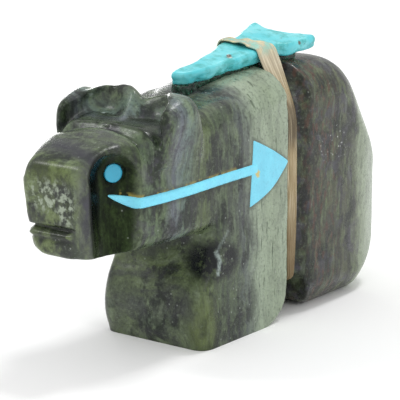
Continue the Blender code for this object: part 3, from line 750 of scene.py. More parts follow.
def shaft_place(u, v):
    """Point of the bent strip: u runs along it, v across it from -1 to 1."""
    first = SHAFT_BEND - SHAFT_START
    second = SHAFT_END - SHAFT_BEND
    total = first.length + second.length
    run = u * total
    wide = SHAFT_WIDTH / 2
    n1 = Vector((-first.y, first.x)).normalized()
    n2 = Vector((-second.y, second.x)).normalized()
    corner = (n1 + n2).normalized()
    corner *= 1 / corner.dot(n2)
    if run < first.length:
        share = run / first.length
        centre = SHAFT_START + first * share
        cross = n1.lerp(corner, share) * (0.12 + (wide - 0.12) * share ** 0.8)
        end = run
    else:
        share = (run - first.length) / second.length
        centre = SHAFT_BEND + second * share
        cross = corner.lerp(n2, min(share * 6, 1.0)) * wide
        end = min(total - run, run)
    wobble = 0.03 * noise.noise(Vector((run * 0.9, v * 3.0, 4.0)))
    return centre + cross * (v + wobble), min((1 - abs(v)) * cross.length, end)


def point_place(u, v):
    """Point of the heartline's arrowhead: u from its back edge to its tip, v from bottom to top."""
    up = (v + 1) / 2
    back = POINT_BOTTOM.lerp(POINT_TOP, up)
    low = POINT_BOTTOM.lerp(POINT_TIP, u) + Vector((0.35, -0.75)) * math.sin(math.pi * u)
    high = POINT_TOP.lerp(POINT_TIP, u) + Vector((0.0, 0.2)) * math.sin(math.pi * u)
    spot = low.lerp(high, up)
    spot += (back - POINT_BOTTOM.lerp(POINT_TOP, up)) * (1 - u)
    wide = (high - low).length / 2
    return spot, min((1 - abs(v)) * wide, u * 9.0, (1 - u) * 9.0 + 0.12)


# arrowhead, its glue and the sinew
NEAR_EDGE = [(-0.2, -5.9), (1.4, -4.2), (2.2, 0.0), (2.6, 3.2), (3.1, 6.2), (3.5, 9.4), (3.3, 12.2),
             (3.5, 13.6), (4.5, 14.4), (4.9, 16.7), (5.3, 19.1), (5.0, 20.6)]
BASE_EDGE = [(3.7, 20.2), (1.6, 19.2), (-0.8, 18.4), (-2.8, 19.0), (-4.4, 19.5)]
FAR_EDGE = [(-4.8, 18.4), (-4.2, 15.7), (-3.2, 13.2), (-3.0, 11.8), (-3.3, 10.2), (-2.7, 7.6), (-1.7, 4.0),
            (-1.1, -0.4), (-1.0, -4.4)]

# pits of the arrowhead and its brown stains, each a place on the flat slab and a width
SLAB_PITS = (((1.6, 4.4, 1.05), 0.34), ((1.2, 4.9, 1.05), 0.3), ((4.6, 16.9, 0.6), 0.2),
             ((2.9, 3.4, -0.95), 0.7), ((2.5, 1.0, -1.0), 0.6), ((1.9, -2.6, -1.0), 0.6))
SLAB_STAINS = (((1.6, 4.4, 1.0), 0.75), ((1.2, 4.9, 1.0), 0.6), ((4.6, 16.9, 0.5), 0.45),
               ((2.9, 2.4, -1.0), 0.7), ((2.7, 3.6, -1.0), 0.5))


def slab_place():
    """Turns the flat arrowhead into its lie on the back."""
    up = Vector((-SLAB_SIDE_TILT, -SLAB_LONG_TILT, 1.0)).normalized()
    along = Vector((0.0, 1.0, SLAB_LONG_TILT)).normalized()
    across = along.cross(up).normalized()
    along = up.cross(across)
    turn = Matrix((across, along, up)).transposed().to_4x4()
    return Matrix.Translation((0.0, 8.0, SLAB_HEIGHT)) @ turn @ Matrix.Translation((0.0, -8.0, 0.0))


def knapped_slab():
    """Arrowhead with soft edges, flake scars on its sides and small pits."""
    outline = smooth_line(NEAR_EDGE + BASE_EDGE + FAR_EDGE, True, 4)
    solid = plate("slab_plate", outline, SLAB_THICKNESS / 2, 0.7, "XY")
    solid = even_skin("slab_even", [solid], SLAB_GRAIN)
    polish = solid.modifiers.new("soften", "SMOOTH")
    polish.factor = 0.5
    polish.iterations = SLAB_SOFTENING
    solid = bake(solid, "slab_soft")
    bm = bmesh.new()
    bm.from_mesh(solid.data)
    discard(solid)
    bm.normal_update()
    pits = [(Vector(spot), wide) for spot, wide in SLAB_PITS]
    moves = []
    for vertex in bm.verts:
        co = vertex.co
        sides = 1 - abs(vertex.normal.z)
        near = noise.voronoi(Vector((co.x * 0.45, co.y * 0.45, co.z * 0.7)))[0][0]
        scar = sizes().knapping / MM * (near - 0.62) * sides * (1.2 if co.z < 0 else 0.5)
        wave = noise.noise(co * 0.45) * 0.15 + noise.noise(co * 1.5) * 0.03
        pit = sum(0.9 * wide * math.exp(-((co - spot).length / wide) ** 2) for spot, wide in pits)
        moves.append(vertex.normal * (wave + min(scar, 0.1) - 0.05 - pit))
    for vertex, move in zip(bm.verts, moves):
        vertex.co += move
    lie = slab_place() @ Matrix.Translation((0, 0, SLAB_THICKNESS / 2))
    bmesh.ops.transform(bm, matrix=lie, verts=bm.verts)
    return bm


def inside_slab(x, y, grow):
    """Whether a plan point lies in the arrowhead's outline grown by an amount."""
    outline = [Vector(p) for p in smooth_line(NEAR_EDGE + BASE_EDGE + FAR_EDGE, True, 2)]
    spot = Vector((x, y))
    inside = False
    for a, b in zip(outline, outline[1:] + outline[:1]):
        if (a.y > y) != (b.y > y) and x < (b.x - a.x) * (y - a.y) / (b.y - a.y) + a.x:
            inside = not inside
    gap = off_line(spot, outline + outline[:1])[0]
    return gap < grow if not inside else (grow > 0 or gap > -grow)


def glue_bed(tree):
    """Glue that fills the wedge between the back and the arrowhead, coloured dark partly as painted shade of
    that gap.
    """
    bm = bmesh.new()
    bmesh.ops.create_grid(bm, x_segments=48, y_segments=100, size=1.0)
    place = slab_place()
    for vertex in bm.verts:
        vertex.co = (vertex.co.x * 5.6, vertex.co.y * 12.5 + 7.0, 0.0)
    gone = []
    for face in bm.faces:
        spot = face.calc_center_median()
        ragged = 0.3 * noise.noise(Vector((spot.x * 0.9, spot.y * 0.9, 2.0)))
        grow = (-0.05 if spot.y < -2.5 else -0.7) + ragged
        if spot.y > 17.0 or not inside_slab(spot.x, spot.y, grow):
            gone.append(face)
    bmesh.ops.delete(bm, geom=gone, context="FACES")
    under = bmesh.ops.duplicate(bm, geom=bm.faces[:])
    low = {item for item in under["geom"] if isinstance(item, bmesh.types.BMVert)}
    for vertex in bm.verts:
        spot = place @ vertex.co
        if vertex in low:
            hit = tree.ray_cast(Vector((spot.x, spot.y, 60.0)), Vector((0, 0, -1)))[0]
            vertex.co = (spot.x, spot.y, min(hit.z - 0.3, spot.z - 0.2))
        else:
            vertex.co = (spot.x, spot.y, spot.z + 0.25)
    turned = [item for item in under["geom"] if isinstance(item, bmesh.types.BMFace)]
    bmesh.ops.reverse_faces(bm, faces=turned)
    bmesh.ops.bridge_loops(bm, edges=[edge for edge in bm.edges if edge.is_boundary])
    bmesh.ops.recalc_face_normals(bm, faces=bm.faces)
    mesh = bpy.data.meshes.new("glue_rough")
    bm.to_mesh(mesh)
    bm.free()
    soft = even_skin("glue_even", [link("glue_rough", mesh)], 0.22)
    polish = soft.modifiers.new("settle", "SMOOTH")
    polish.factor = 0.5
    polish.iterations = 3
    soft = bake(soft, "glue_soft")
    bm = bmesh.new()
    bm.from_mesh(soft.data)
    discard(soft)
    bm.normal_update()
    for vertex in bm.verts:
        vertex.co += vertex.normal * noise.noise(vertex.co * 1.4) * 0.22
    return bm


def hull_line(points):
    """Convex outline of XZ points."""
    flat = sorted({(round(x, 3), round(z, 3)) for x, z in points})

    def half(seq):
        out = []
        for p in seq:
            while len(out) > 1 and ((out[-1][0] - out[-2][0]) * (p[1] - out[-2][1])
                                    - (out[-1][1] - out[-2][1]) * (p[0] - out[-2][0])) <= 0:
                out.pop()
            out.append(p)
        return out

    return half(flat)[:-1] + half(reversed(flat))[:-1]


def even_route(line, count):
    """The same closed line with evenly spaced points, and its length."""
    closed = [Vector(p) for p in line] + [Vector(line[0])]
    spans = [(b - a).length for a, b in zip(closed, closed[1:])]
    total = sum(spans)
    out = []
    for k in range(count):
        goal = total * k / count
        for a, b, span in zip(closed, closed[1:], spans):
            if goal <= span:
                out.append(a.lerp(b, goal / span))
                break
            goal -= span
    return out, total


def sinew_centre(x, z):
    """Where the sinew's middle is along the bear at a point of its route: upright low down, askew on top."""
    over = ease(z, 33.0, 38.0)
    return SINEW_Y - 0.085 * max(0.0, z - SINEW_LEAN_FROM) - 1.4 * over * ease(x, 3.0, -2.5)


def sinew_spread(x, z):
    """Times its usual width: fanned out over the near shoulder, gathered at the far edge."""
    near = 1 + 0.95 * ease(z, 28.0, 37.0)
    far = 1 - 0.2 * ease(z, 28.0, 36.0)
    near *= 0.55 + 0.45 * ease(z, 4.5, 12.0)
    return far + (near - far) * ease(x, -2.4, 3.2)


def sinew_band(points):
    """Flat sinew pulled tight round the waist and over the arrowhead, with lengthwise fibres."""
    half = sizes().sinew_width / MM / 2
    thick = sizes().sinew_thickness / MM
    near = []
    for co in points:
        if abs(co.y - sinew_centre(co.x, co.z)) < half * (0.6 if co.z > 27 else 1.0):
            near.append((co.x, co.z))
    count = 420
    route, total = even_route(hull_line(near), count)
    for _ in range(3):
        route = [(route[i - 1] + route[i] * 2 + route[(i + 1) % count]) / 4 for i in range(count)]
    middle = sum(route, Vector((0, 0))) / count
    bm = bmesh.new()
    bmesh.ops.create_grid(bm, x_segments=count, y_segments=40, size=1.0)
    uv = bm.loops.layers.uv.new("along")
    for face in bm.faces:
        for loop in face.loops:
            loop[uv].uv = ((loop.vert.co.x + 1) / 2 * total, loop.vert.co.y * half)
    for vertex in bm.verts:
        share = (vertex.co.x + 1) / 2
        v = vertex.co.y
        index = int(round(share * count)) % count
        spot = route[index]
        run = (route[(index + 1) % count] - route[index - 1]).normalized()
        out = Vector((run.y, -run.x))
        if out.dot(spot - middle) < 0:
            out = -out
        turn = 2 * math.pi * share
        round_run = Vector((math.cos(turn) * 8, math.sin(turn) * 8, 0))
        wide = sinew_spread(spot.x, spot.y)
        ridge = noise.noise(Vector((round_run.x * 0.25, round_run.y * 0.25, v * 6.0)))
        fine = noise.noise(Vector((round_run.x * 0.5, round_run.y * 0.5, v * 15.0 + 9)))
        body = 0.1 + thick * (1 - abs(v) ** 3) + 0.1 * ridge + 0.05 * fine
        body += 0.35 * ease(spot.y, 36.8, 38.0) * noise.noise(Vector((spot.x * 0.8, v * 1.6, 3.0)))
        edge = 1 + 0.1 * noise.noise(Vector((round_run.x * 0.35, round_run.y * 0.35, 5.0 if v > 0 else 15.0)))
        y = sinew_centre(spot.x, spot.y) + v * half * wide * edge
        spot = spot + out * max(body, 0.06)
        vertex.co = (spot.x, y, spot.y)
    bmesh.ops.remove_doubles(bm, verts=bm.verts, dist=0.004)
    bm.normal_update()
    centre = Vector((middle.x, SINEW_Y, middle.y))
    if sum((face.calc_center_median() - centre).dot(face.normal) for face in bm.faces) < 0:
        bmesh.ops.reverse_faces(bm, faces=bm.faces)
    bmesh.ops.solidify(bm, geom=bm.faces[:], thickness=0.16)
    bmesh.ops.recalc_face_normals(bm, faces=bm.faces)
    return bm


# materials; every pattern is sized in millimetres
def node(tree, kind, inputs=None, out=0, stops=None, **settings):
    """Adds a shader node with its settings and gives back one output. An input is a value or an output to
    link, and stops are the places and colours, or greys, of a colour ramp."""
    made = tree.nodes.new("ShaderNode" + kind)
    for name, value in settings.items():
        setattr(made, name, value)
    for key, value in (inputs or {}).items():
        socket = made.inputs[key]
        if isinstance(value, bpy.types.NodeSocket):
            tree.links.new(value, socket)
        elif socket.type == "RGBA" and len(value) == 3:
            socket.default_value = (*value, 1.0)
        else:
            socket.default_value = value
    if stops:
        slots = made.color_ramp.elements
        while len(slots) < len(stops):
            slots.new(0.5)
        for slot, (place, value) in zip(slots, stops):
            slot.position = place
            slot.color = (*(value if isinstance(value, tuple) else (value,) * 3), 1.0)
    return made.outputs[out]


def new_material(name):
    """A material with its node tree, its shader and the surface's place in millimetres."""
    material = bpy.data.materials.new(name)
    material.use_nodes = True
    tree = material.node_tree
    place = node(tree, "TexCoord", out="Object")
    place = node(tree, "Mapping", {"Vector": place, "Scale": (1 / MM, 1 / MM, 1 / MM)})
    return material, tree, tree.nodes["Principled BSDF"], place


def coated(tree, tone, coats):
    """Lays coats of colour over a base: a coat is a pattern, where on it the coat starts and ends, how far it
    is let through, its colour and, where it isn't plain, how it mixes."""
    for pattern, stops, limit, paint, *kind in coats:
        cover = node(tree, "ValToRGB", {0: pattern}, stops=stops)
        if limit != 1.0:
            cover = node(tree, "Math", {0: cover, 1: limit}, operation="MULTIPLY")
        tone = node(tree, "Mix", {0: cover, 6: tone, 7: paint}, 2, data_type="RGBA",
                    blend_type=kind[0] if kind else "MIX")
    return tone


PLAIN = (1.0, 1.0, 1.0)
NOWHERE = (0.0, 0.0, 0.0)
GOLD_GRAIN = (8.5, 1.8, 22.1)
WHITE_GRAIN = (1.95, 4.25, 36.9)
# the ramp of layers, in mm along the bear, and how far the lean moves a layer at mid height
LAYERS_FROM, LAYERS_TO, LAYER_LEAN, LEAN_SHIFT = -32.0, 40.0, 0.06, 1.1


def at(y):
    """Place on the ramp of layers of a distance along the bear."""
    return (y + LEAN_SHIFT - LAYERS_FROM) / (LAYERS_TO - LAYERS_FROM)


# colours of the stone's layers from the muzzle to the rump; the ones at 11.8 and 13.6 mm are darkened beyond
# the stone's own colour as painted shade in the waist groove behind the sinew
LAYERS = ((-30.0, "#66734a"), (-28.0, "#5f6d45"), (-27.0, "#4c5148"), (-25.0, "#3a4530"), (-21.6, "#465239"),
          (-20.2, "#62735a"), (-17.6, "#536347"), (-15.9, "#6a7078"), (-14.0, "#6c7f76"), (-11.8, "#525c48"),
          (-9.2, "#525f3a"), (-6.5, "green"), (-3.0, "#515c4c"), (-1.6, "#565e5c"), (2.2, "pale"),
          (6.0, "#97a58d"), (9.8, "pale"), (11.8, "#262b22"), (13.6, "#2b2c25"), (16.2, "#3f4034"),
          (19.6, "#4c4e3b"), (21.6, "#31302a"), (22.8, "#5b5f49"), (24.4, "#33352b"), (26.2, "#5c634f"),
          (27.4, "#8b977e"), (32.0, "pale"), (38.0, "#87937d"))


def polished_serpentine():
    """Serpentine, ground and buffed to a soft gloss. Its layers stand upright across the bear and its colour
    changes from one to the next; dark blotches, leafy streaks and fine grit break them up."""
    material, tree, shader, mm = new_material("polished_serpentine")
    c = colours()
    green, dark, pale, purple, rust = (tuple(v) for v in (c.leaf_green, c.dark_green, c.pale_green,
                                                          c.dusk_purple, c.rust))
    named = {"green": green, "pale": pale}
    share = {name: node(tree, "Attribute", out="Fac", attribute_name=name) for name in SHARES}
    # wide folds bend the layers by up to 1.5 mm
    flow = node(tree, "TexNoise", {"Vector": mm, "Scale": 1 / 6.25, "Detail": 2.0}, "Color")
    bent = node(tree, "VectorMath", {0: flow, 1: (0.5, 0.5, 0.5)}, operation="SUBTRACT")
    bent = node(tree, "VectorMath", {0: bent, 1: (3.0, 2.6, 3.0)}, operation="MULTIPLY")
    bent = node(tree, "VectorMath", {0: bent, 1: mm}, operation="ADD")
    split = node(tree, "SeparateXYZ", {0: bent}).node
    lean = node(tree, "Math", {0: split.outputs["Z"], 1: LAYER_LEAN}, operation="MULTIPLY")
    layer = node(tree, "Math", {0: split.outputs["Y"], 1: lean}, operation="ADD")
    layer = node(tree, "MapRange", {0: layer, 1: LAYERS_FROM, 2: LAYERS_TO})
    tone = node(tree, "ValToRGB", {0: layer}, stops=[(at(y), named.get(code) or linear(code))
                                                     for y, code in LAYERS])
    # natural patterns: where each is read, its size in mm, detail, roughness, stretch and shift; the grit is
    # drawn at 0.4 mm, coarser than the real grain, so that it shows
    seen = {}
    rows = (
        ("blotch", bent, 3.3333, 6.0, 0.66, (0.9, 1.1, 0.6), NOWHERE),
        ("leaf", bent, 0.8, 5.0, 0.62, (0.2, 1.0, 0.13), NOWHERE),
        ("grit", mm, 0.38462, 4.0, 0.7, PLAIN, NOWHERE),
        ("cloud", bent, 2.7778, 6.0, 0.66, PLAIN, (31, 17, 5)),
        ("haze", bent, 2.0, 5.0, 0.66, (1.0, 1.6, 0.7), (-12, 40, 22)),
        ("flake", mm, 0.90909, 4.0, 0.5, (0.5, 1.4, 0.22), (3, 9, 0)),
        ("rust", mm, 0.83333, 4.0, 0.5, (0.8, 1.1, 0.5), (7, 1, 3)),
        ("ragged", mm, 1.3333, 6.0, 0.72, PLAIN, NOWHERE),
        ("mottle", mm, 0.8, 4.0, 0.62, PLAIN, NOWHERE),
        ("dust", mm, 1.1111, 3.0, 0.5, PLAIN, NOWHERE))
    for name, place, size, detail, rough, stretch, shift in rows:
        place = node(tree, "Mapping", {"Vector": place, "Location": shift, "Scale": stretch})
        seen[name] = node(tree, "TexNoise", {"Vector": place, "Scale": 1 / size, "Detail": detail,
                                             "Roughness": rough})
    grit, haze = seen["grit"], seen["haze"]
    pale_zone = node(tree, "ValToRGB", {0: layer}, stops=[(at(-1.6), 0.0), (at(2.2), 1.0), (at(10.6), 1.0),
                                                          (at(11.6), 0.0), (at(26.2), 0.0), (at(27.8), 1.0)])
    red_zone = node(tree, "ValToRGB", {0: layer}, stops=[(at(12.5), 0.0), (at(15.0), 1.0), (at(19.5), 1.0),
                                                         (at(22.0), 0.0)])
    dusk = node(tree, "ValToRGB", {0: layer}, stops=[(at(-27.5), 0.12), (at(-19.5), 0.9), (at(-14.5), 1.0),
                                                     (at(-12.2), 0.3), (at(-9.5), 0.15), (at(-3.0), 0.45),
                                                     (at(14.0), 1.0)])
    # the pale layers keep few blotches and some streaks
    calm = node(tree, "Math", {0: pale_zone, 1: -0.86, 2: 1.0}, operation="MULTIPLY_ADD")
    quiet = node(tree, "Math", {0: pale_zone, 1: -0.6, 2: 1.0}, operation="MULTIPLY_ADD")
    dusk = node(tree, "Math", {0: calm, 1: dusk}, operation="MULTIPLY")
    shade = tuple(0.6 * a + 0.4 * b for a, b in zip(dark, purple))
    # specks of pale mineral, up to 0.3 mm wide, in cells of 0.65 mm: one cell in twenty has one, and on the
    # left rear flank most do
    cells = node(tree, "TexVoronoi", {"Vector": mm, "Scale": 1 / 0.64516}, "Distance", feature="F1")
    chosen = node(tree, "SeparateColor", {0: cells.node.outputs["Color"]})
    speck = node(tree, "ValToRGB", {0: cells}, stops=[(0.1, 1.0), (0.24, 0.0)])
    rich = node(tree, "Math", {0: speck, 1: share["fleck"]}, operation="MULTIPLY")
    stripe = node(tree, "ValToRGB", {0: share["stripe"]}, stops=[(0.3, linear("#677360")),
                                                                 (0.75, linear("#5f625f")),
                                                                 (1.0, linear("#494852"))])
    tone = coated(tree, tone, (
        (haze, [(0.48, 0.0), (0.66, 0.55)], calm, linear("#71805c")),
        (seen["blotch"], [(0.49, 0.0), (0.58, 0.88)], calm, dark),
        (seen["cloud"], [(0.52, 0.0), (0.62, 0.75)], dusk, purple),
        (seen["leaf"], [(0.47, 0.0), (0.62, 0.6)], quiet, shade),
        (seen["leaf"], [(0.3, 0.4), (0.45, 0.0)], 1.0, linear("#7f8c74")),
        (seen["flake"], [(0.62, 0.0), (0.68, 0.8)], pale_zone, linear("#4d5b48")),
        (seen["rust"], [(0.52, 0.0), (0.64, 0.75)], red_zone, rust),
        (grit, [(0.5, 0.0), (0.7, 0.62)], 1.0, dark),
        (grit, [(0.25, 0.42), (0.44, 0.0)], 1.0, linear("#86947f")),
        (haze, [(0.35, 0.15), (0.6, 0.6)], share["olive"], linear("#5f6d35")),
        (seen["ragged"], [(0.37, 0.2), (0.49, 1.0)], share["patch"], linear("#0c1113")),
        (haze, [(0.35, 0.4), (0.65, 0.8)], share["stripe"], stripe),
        (seen["blotch"], [(0.3, 0.95), (0.62, 0.7)], share["band"], linear("#2b2b34")),
        (seen["mottle"], [(0.48, 0.0), (0.59, 0.8)], share["muzzle"], linear("#a0ab98")),
        # painted shade in the ears' hollows
        (share["ear_hollow_shade"], [(0.0, 0.0), (1.0, 0.78)], 1.0, linear("#1d2717")),
        # painted shade deep in the eye sockets
        (share["socket"], [(0.0, 0.0), (1.0, 1.0)], 1.0, linear("#8a9b76"), "MULTIPLY"),
        # painted shade on the front wall of each socket
        (share["socket_wall_shade"], [(0.0, 0.0), (1.0, 0.93)], 1.0, linear("#05080a")),
        # painted shade in the brow and mouth lines
        (share["line"], [(0.0, 0.0), (1.0, 0.7)], 1.0, linear("#0f1411")),
        (chosen, [(0.3, 0.0), (0.6, 0.75)], rich, linear("#c4c8c4")),
        (chosen, [(0.94, 0.0), (0.96, 0.5)], speck, linear("#a9b0a8")),
        (grit, [(0.35, 0.25), (0.6, 0.8)], share["vein"], linear("#a4b3ae")),
        (grit, [(0.3, 0.6), (0.7, 0.3)], share["joint"], linear("#131b18")),
        (seen["dust"], [(0.47, 0.0), (0.56, 0.7)], share["gold"], linear("#a3964f"))))
    tree.links.new(tone, shader.inputs["Base Color"])
    gloss = node(tree, "ValToRGB", {0: grit}, stops=[(0.3, 0.2), (0.7, 0.34)])
    tree.links.new(gloss, shader.inputs["Roughness"])
    shader.inputs["IOR"].default_value = 1.56
    # the sockets shine less: their reflection is dimmed as painted shade of the recess
    shader.inputs["Specular IOR Level"].default_value = 0.26
    socket_shaded = node(tree, "ValToRGB", {0: share["socket"]}, stops=[(0.2, 0.26), (0.9, 0.07)])
    tree.links.new(socket_shaded, shader.inputs["Specular IOR Level"])
    bump = node(tree, "Bump", {"Strength": 0.12, "Distance": 0.0002, "Height": grit})
    tree.links.new(bump, shader.inputs["Normal"])
    return material


def sky_turquoise(name, sky):
    """Even turquoise, ground flush and left satin: a nearly plain sky blue with faint clouds and grain."""
    material, tree, shader, mm = new_material(name)
    # clouds of 2 mm and grain of 0.33 mm
    cloud = node(tree, "TexNoise", {"Vector": mm, "Scale": 1 / 2.0, "Detail": 4.0})
    grain = node(tree, "TexNoise", {"Vector": mm, "Scale": 1 / 0.33333, "Detail": 3.0})
    # a grain of gold, 1 mm wide, where the strip meets the point
    gap = node(tree, "VectorMath", {0: mm, 1: GOLD_GRAIN}, "Value", operation="DISTANCE")
    gap = node(tree, "Math", {0: grain, 1: 0.9, 2: gap}, operation="MULTIPLY_ADD")
    tone = coated(tree, sky, (
        (cloud, [(0.4, 0.0), (0.7, 0.4)], 1.0, tuple(min(1.0, 1.3 * v) for v in sky)),
        (grain, [(0.55, 0.0), (0.8, 0.3)], 1.0, tuple(0.45 * v for v in sky)),
        (gap, [(0.8, 0.9), (1.0, 0.0)], 1.0, linear("#cdb65a"))))
    tree.links.new(tone, shader.inputs["Base Color"])
    gloss = node(tree, "ValToRGB", {0: grain}, stops=[(0.3, 0.3), (0.7, 0.45)])
    tree.links.new(gloss, shader.inputs["Roughness"])
    shader.inputs["IOR"].default_value = 1.6
    bump = node(tree, "Bump", {"Strength": 0.1, "Distance": 0.0002, "Height": grain})
    tree.links.new(bump, shader.inputs["Normal"])
    return material


def sea_turquoise():
    """Greener turquoise, waxed over its break surface: cloudy blue green with brown matrix in its pits."""
    material, tree, shader, mm = new_material("sea_turquoise")
    # clouds of 3.3 mm, deeper patches of 1.4 mm, matrix of 1.8 mm and grain of 0.4 mm
    cloud = node(tree, "TexNoise", {"Vector": mm, "Scale": 1 / 3.3333, "Detail": 4.0})
    patch = node(tree, "TexNoise", {"Vector": mm, "Scale": 1 / 1.42857, "Detail": 4.0, "Roughness": 0.6})
    matrix = node(tree, "TexNoise", {"Vector": mm, "Scale": 1 / 1.81818, "Detail": 6.0, "Roughness": 0.7})
    grain = node(tree, "TexNoise", {"Vector": mm, "Scale": 1 / 0.4, "Detail": 3.0})
    pit = node(tree, "Attribute", out="Fac", attribute_name="pit")
    # one white grain, 0.4 mm wide, between the near pits
    white = node(tree, "VectorMath", {0: mm, 1: WHITE_GRAIN}, "Value", operation="DISTANCE")
    tone = coated(tree, tuple(colours().sea), (
        (cloud, [(0.4, 0.0), (0.65, 0.7)], 1.0, linear("#7fdbe0")),
        (patch, [(0.48, 0.0), (0.66, 0.7)], 1.0, linear("#35a09c")),
        (matrix, [(0.66, 0.0), (0.71, 0.75)], 1.0, linear("#5b5242")),
        (pit, [(0.35, 0.0), (0.8, 0.9)], 1.0, linear("#6d4f3c")),
        (white, [(0.2, 0.9), (0.42, 0.0)], 1.0, linear("#e4e6da"))))
    tree.links.new(tone, shader.inputs["Base Color"])
    gloss = node(tree, "ValToRGB", {0: patch}, stops=[(0.3, 0.3), (0.7, 0.45)])
    tree.links.new(gloss, shader.inputs["Roughness"])
    shader.inputs["IOR"].default_value = 1.6
    bump = node(tree, "Bump", {"Strength": 0.15, "Distance": 0.0002, "Height": grain})
    tree.links.new(bump, shader.inputs["Normal"])
    return material


def dry_sinew():
    """Dry split sinew, rubbed and pulled tight: pale fibres along its length, greyer from about 23 to 32 mm
    up, browner low down, paler and smeared with glue on top."""
    material, tree, shader, mm = new_material("dry_sinew")
    along = node(tree, "UVMap", uv_map="along")
    # fibres on the strip's own map, which is in millimetres: 5 mm long and 0.17 mm wide, coarser than real
    # ones so that they show
    drawn = node(tree, "Mapping", {"Vector": along, "Scale": (0.12, 3.6, 1.0)})
    strand = node(tree, "TexNoise", {"Vector": drawn, "Scale": 1 / 0.625, "Detail": 4.0})
    lump = node(tree, "TexNoise", {"Vector": mm, "Scale": 1 / 1.42857, "Detail": 4.0})
    # the stops on the height are millimetres above the ground over the ramp's own height
    high = 40.0
    height = node(tree, "SeparateXYZ", {0: mm}, "Z")
    height = node(tree, "MapRange", {0: height, 1: 0.0, 2: high})
    bare = node(tree, "ValToRGB", {0: strand}, stops=[(0.4, 1.0), (0.65, 0.6)])
    top = node(tree, "ValToRGB", {0: height}, stops=[(36.475 / high, 0.0), (38.125 / high, 1.0)])
    tone = coated(tree, linear("#8f7a56"), (
        (strand, [(0.35, 0.0), (0.6, 0.8)], 1.0, tuple(colours().fibre)),
        (strand, [(0.56, 0.0), (0.7, 0.85)], 1.0, linear("#eadfc6")),
        (height, [(23.08 / high, 0.0), (25.6 / high, 0.85), (29.52 / high, 0.9), (32.04 / high, 0.0)], bare,
         linear("#4b463c")),
        (height, [(7.2 / high, 0.9), (19.2 / high, 0.25)], 1.0, linear("#74603f")),
        (height, [(31.8 / high, 0.0), (35.4 / high, 0.28)], 1.0, linear("#ece8d6")),
        (lump, [(0.42, 0.9), (0.56, 0.1)], top, linear("#8fc7b8")),
        (lump, [(0.52, 0.0), (0.66, 0.9)], top, linear("#ddd0a4"))))
    tree.links.new(tone, shader.inputs["Base Color"])
    gloss = node(tree, "ValToRGB", {0: strand}, stops=[(0.3, 0.6), (0.7, 0.4)])
    tree.links.new(gloss, shader.inputs["Roughness"])
    bump = node(tree, "Bump", {"Strength": 0.5, "Distance": 0.0002, "Height": strand})
    tree.links.new(bump, shader.inputs["Normal"])
    return material


def glue_and_gap_shade():
    """Clear glue full of green stone dust, set glossy: very dark, partly as painted shade of the gap under
    the arrowhead, with a few bright grains of 0.5 mm painted as glints.
    """
    material, tree, shader, mm = new_material("glue_and_gap_shade")
    grit = node(tree, "TexNoise", {"Vector": mm, "Scale": 1 / 0.5, "Detail": 4.0, "Roughness": 0.7})
    tone = node(tree, "ValToRGB", {0: grit}, stops=[(0.4, linear("#07140f")), (0.58, linear("#12402f")),
                                                    (0.7, linear("#4d8f74"))])
    tree.links.new(tone, shader.inputs["Base Color"])
    shader.inputs["Roughness"].default_value = 0.18
    bump = node(tree, "Bump", {"Strength": 0.5, "Distance": 0.0003, "Height": grit})
    tree.links.new(bump, shader.inputs["Normal"])
    return material


class BEAR_OT_carve(bpy.types.Operator):
    """Carve and polish the stone bear"""
    bl_idname = "bear.carve"
    bl_label = "Carve the bear"

    def execute(self, context):
        bm = carve_skin()
        seat_eyes(bm)
        paint_shares(bm)
        finish_piece("carved_bear", bm, "bear_body", polished_serpentine())
        return {"FINISHED"}


class BEAR_OT_inlay(bpy.types.Operator):
    """Set the eyes and the heartline into both flanks"""
    bl_idname = "bear.inlay"
    bl_label = "Set the inlays"

    def execute(self, context):
        tree, _ = skin_tree()
        bright = tuple(colours().sky)
        material = sky_turquoise("sky_turquoise", tuple(0.9 * v for v in bright))
        strip = sky_turquoise("sky_turquoise_strip", bright)
        # the eyes get a copy of the turquoise painted darker as shade of their sockets
        socket_shaded = sky_turquoise("sky_turquoise_eye_shaded", tuple(colours().eye))
        rise = sizes().inlay_rise / MM
        for side, name in ((1, "left"), (-1, "right")):
            finish_piece("eye_disc_" + name, eye_disc(side), "eye_" + name, socket_shaded)
            shaft = laid_sheet(tree, side, 8, 150, shaft_place, rise + 0.1)
            finish_piece("heartline_strip_" + name, shaft, "heartline_shaft_" + name, strip)
            tip = laid_sheet(tree, side, 48, 56, point_place, rise)
            finish_piece("heartline_tip_" + name, tip, "heartline_point_" + name, material)
        return {"FINISHED"}


class BEAR_OT_offering(bpy.types.Operator):
    """Lay the turquoise arrowhead in its glue on the back"""
    bl_idname = "bear.offering"
    bl_label = "Lay the arrowhead"

    def execute(self, context):
        tree, _ = skin_tree()
        finish_piece("glue_bed", glue_bed(tree), None, glue_and_gap_shade())
        slab = knapped_slab()
        pit = slab.verts.layers.float.new("pit")
        place = slab_place() @ Matrix.Translation((0, 0, SLAB_THICKNESS / 2))
        stains = [(place @ Vector(spot), wide) for spot, wide in SLAB_STAINS]
        for vertex in slab.verts:
            vertex[pit] = max(ease((vertex.co - spot).length, wide, 0.2) for spot, wide in stains)
        finish_piece("turquoise_arrowhead", slab, "offering_arrowhead", sea_turquoise())
        return {"FINISHED"}


class BEAR_OT_tie(bpy.types.Operator):
    """Tie the sinew round the waist and the arrowhead"""
    bl_idname = "bear.tie"
    bl_label = "Tie the sinew"

    def execute(self, context):
        _, points = skin_tree()
        slab = earlier_piece("turquoise_arrowhead").data
        points += [vertex.co / MM for vertex in slab.vertices]
        finish_piece("sinew_tie", sinew_band(points), "sinew_wrap", dry_sinew())
        return {"FINISHED"}


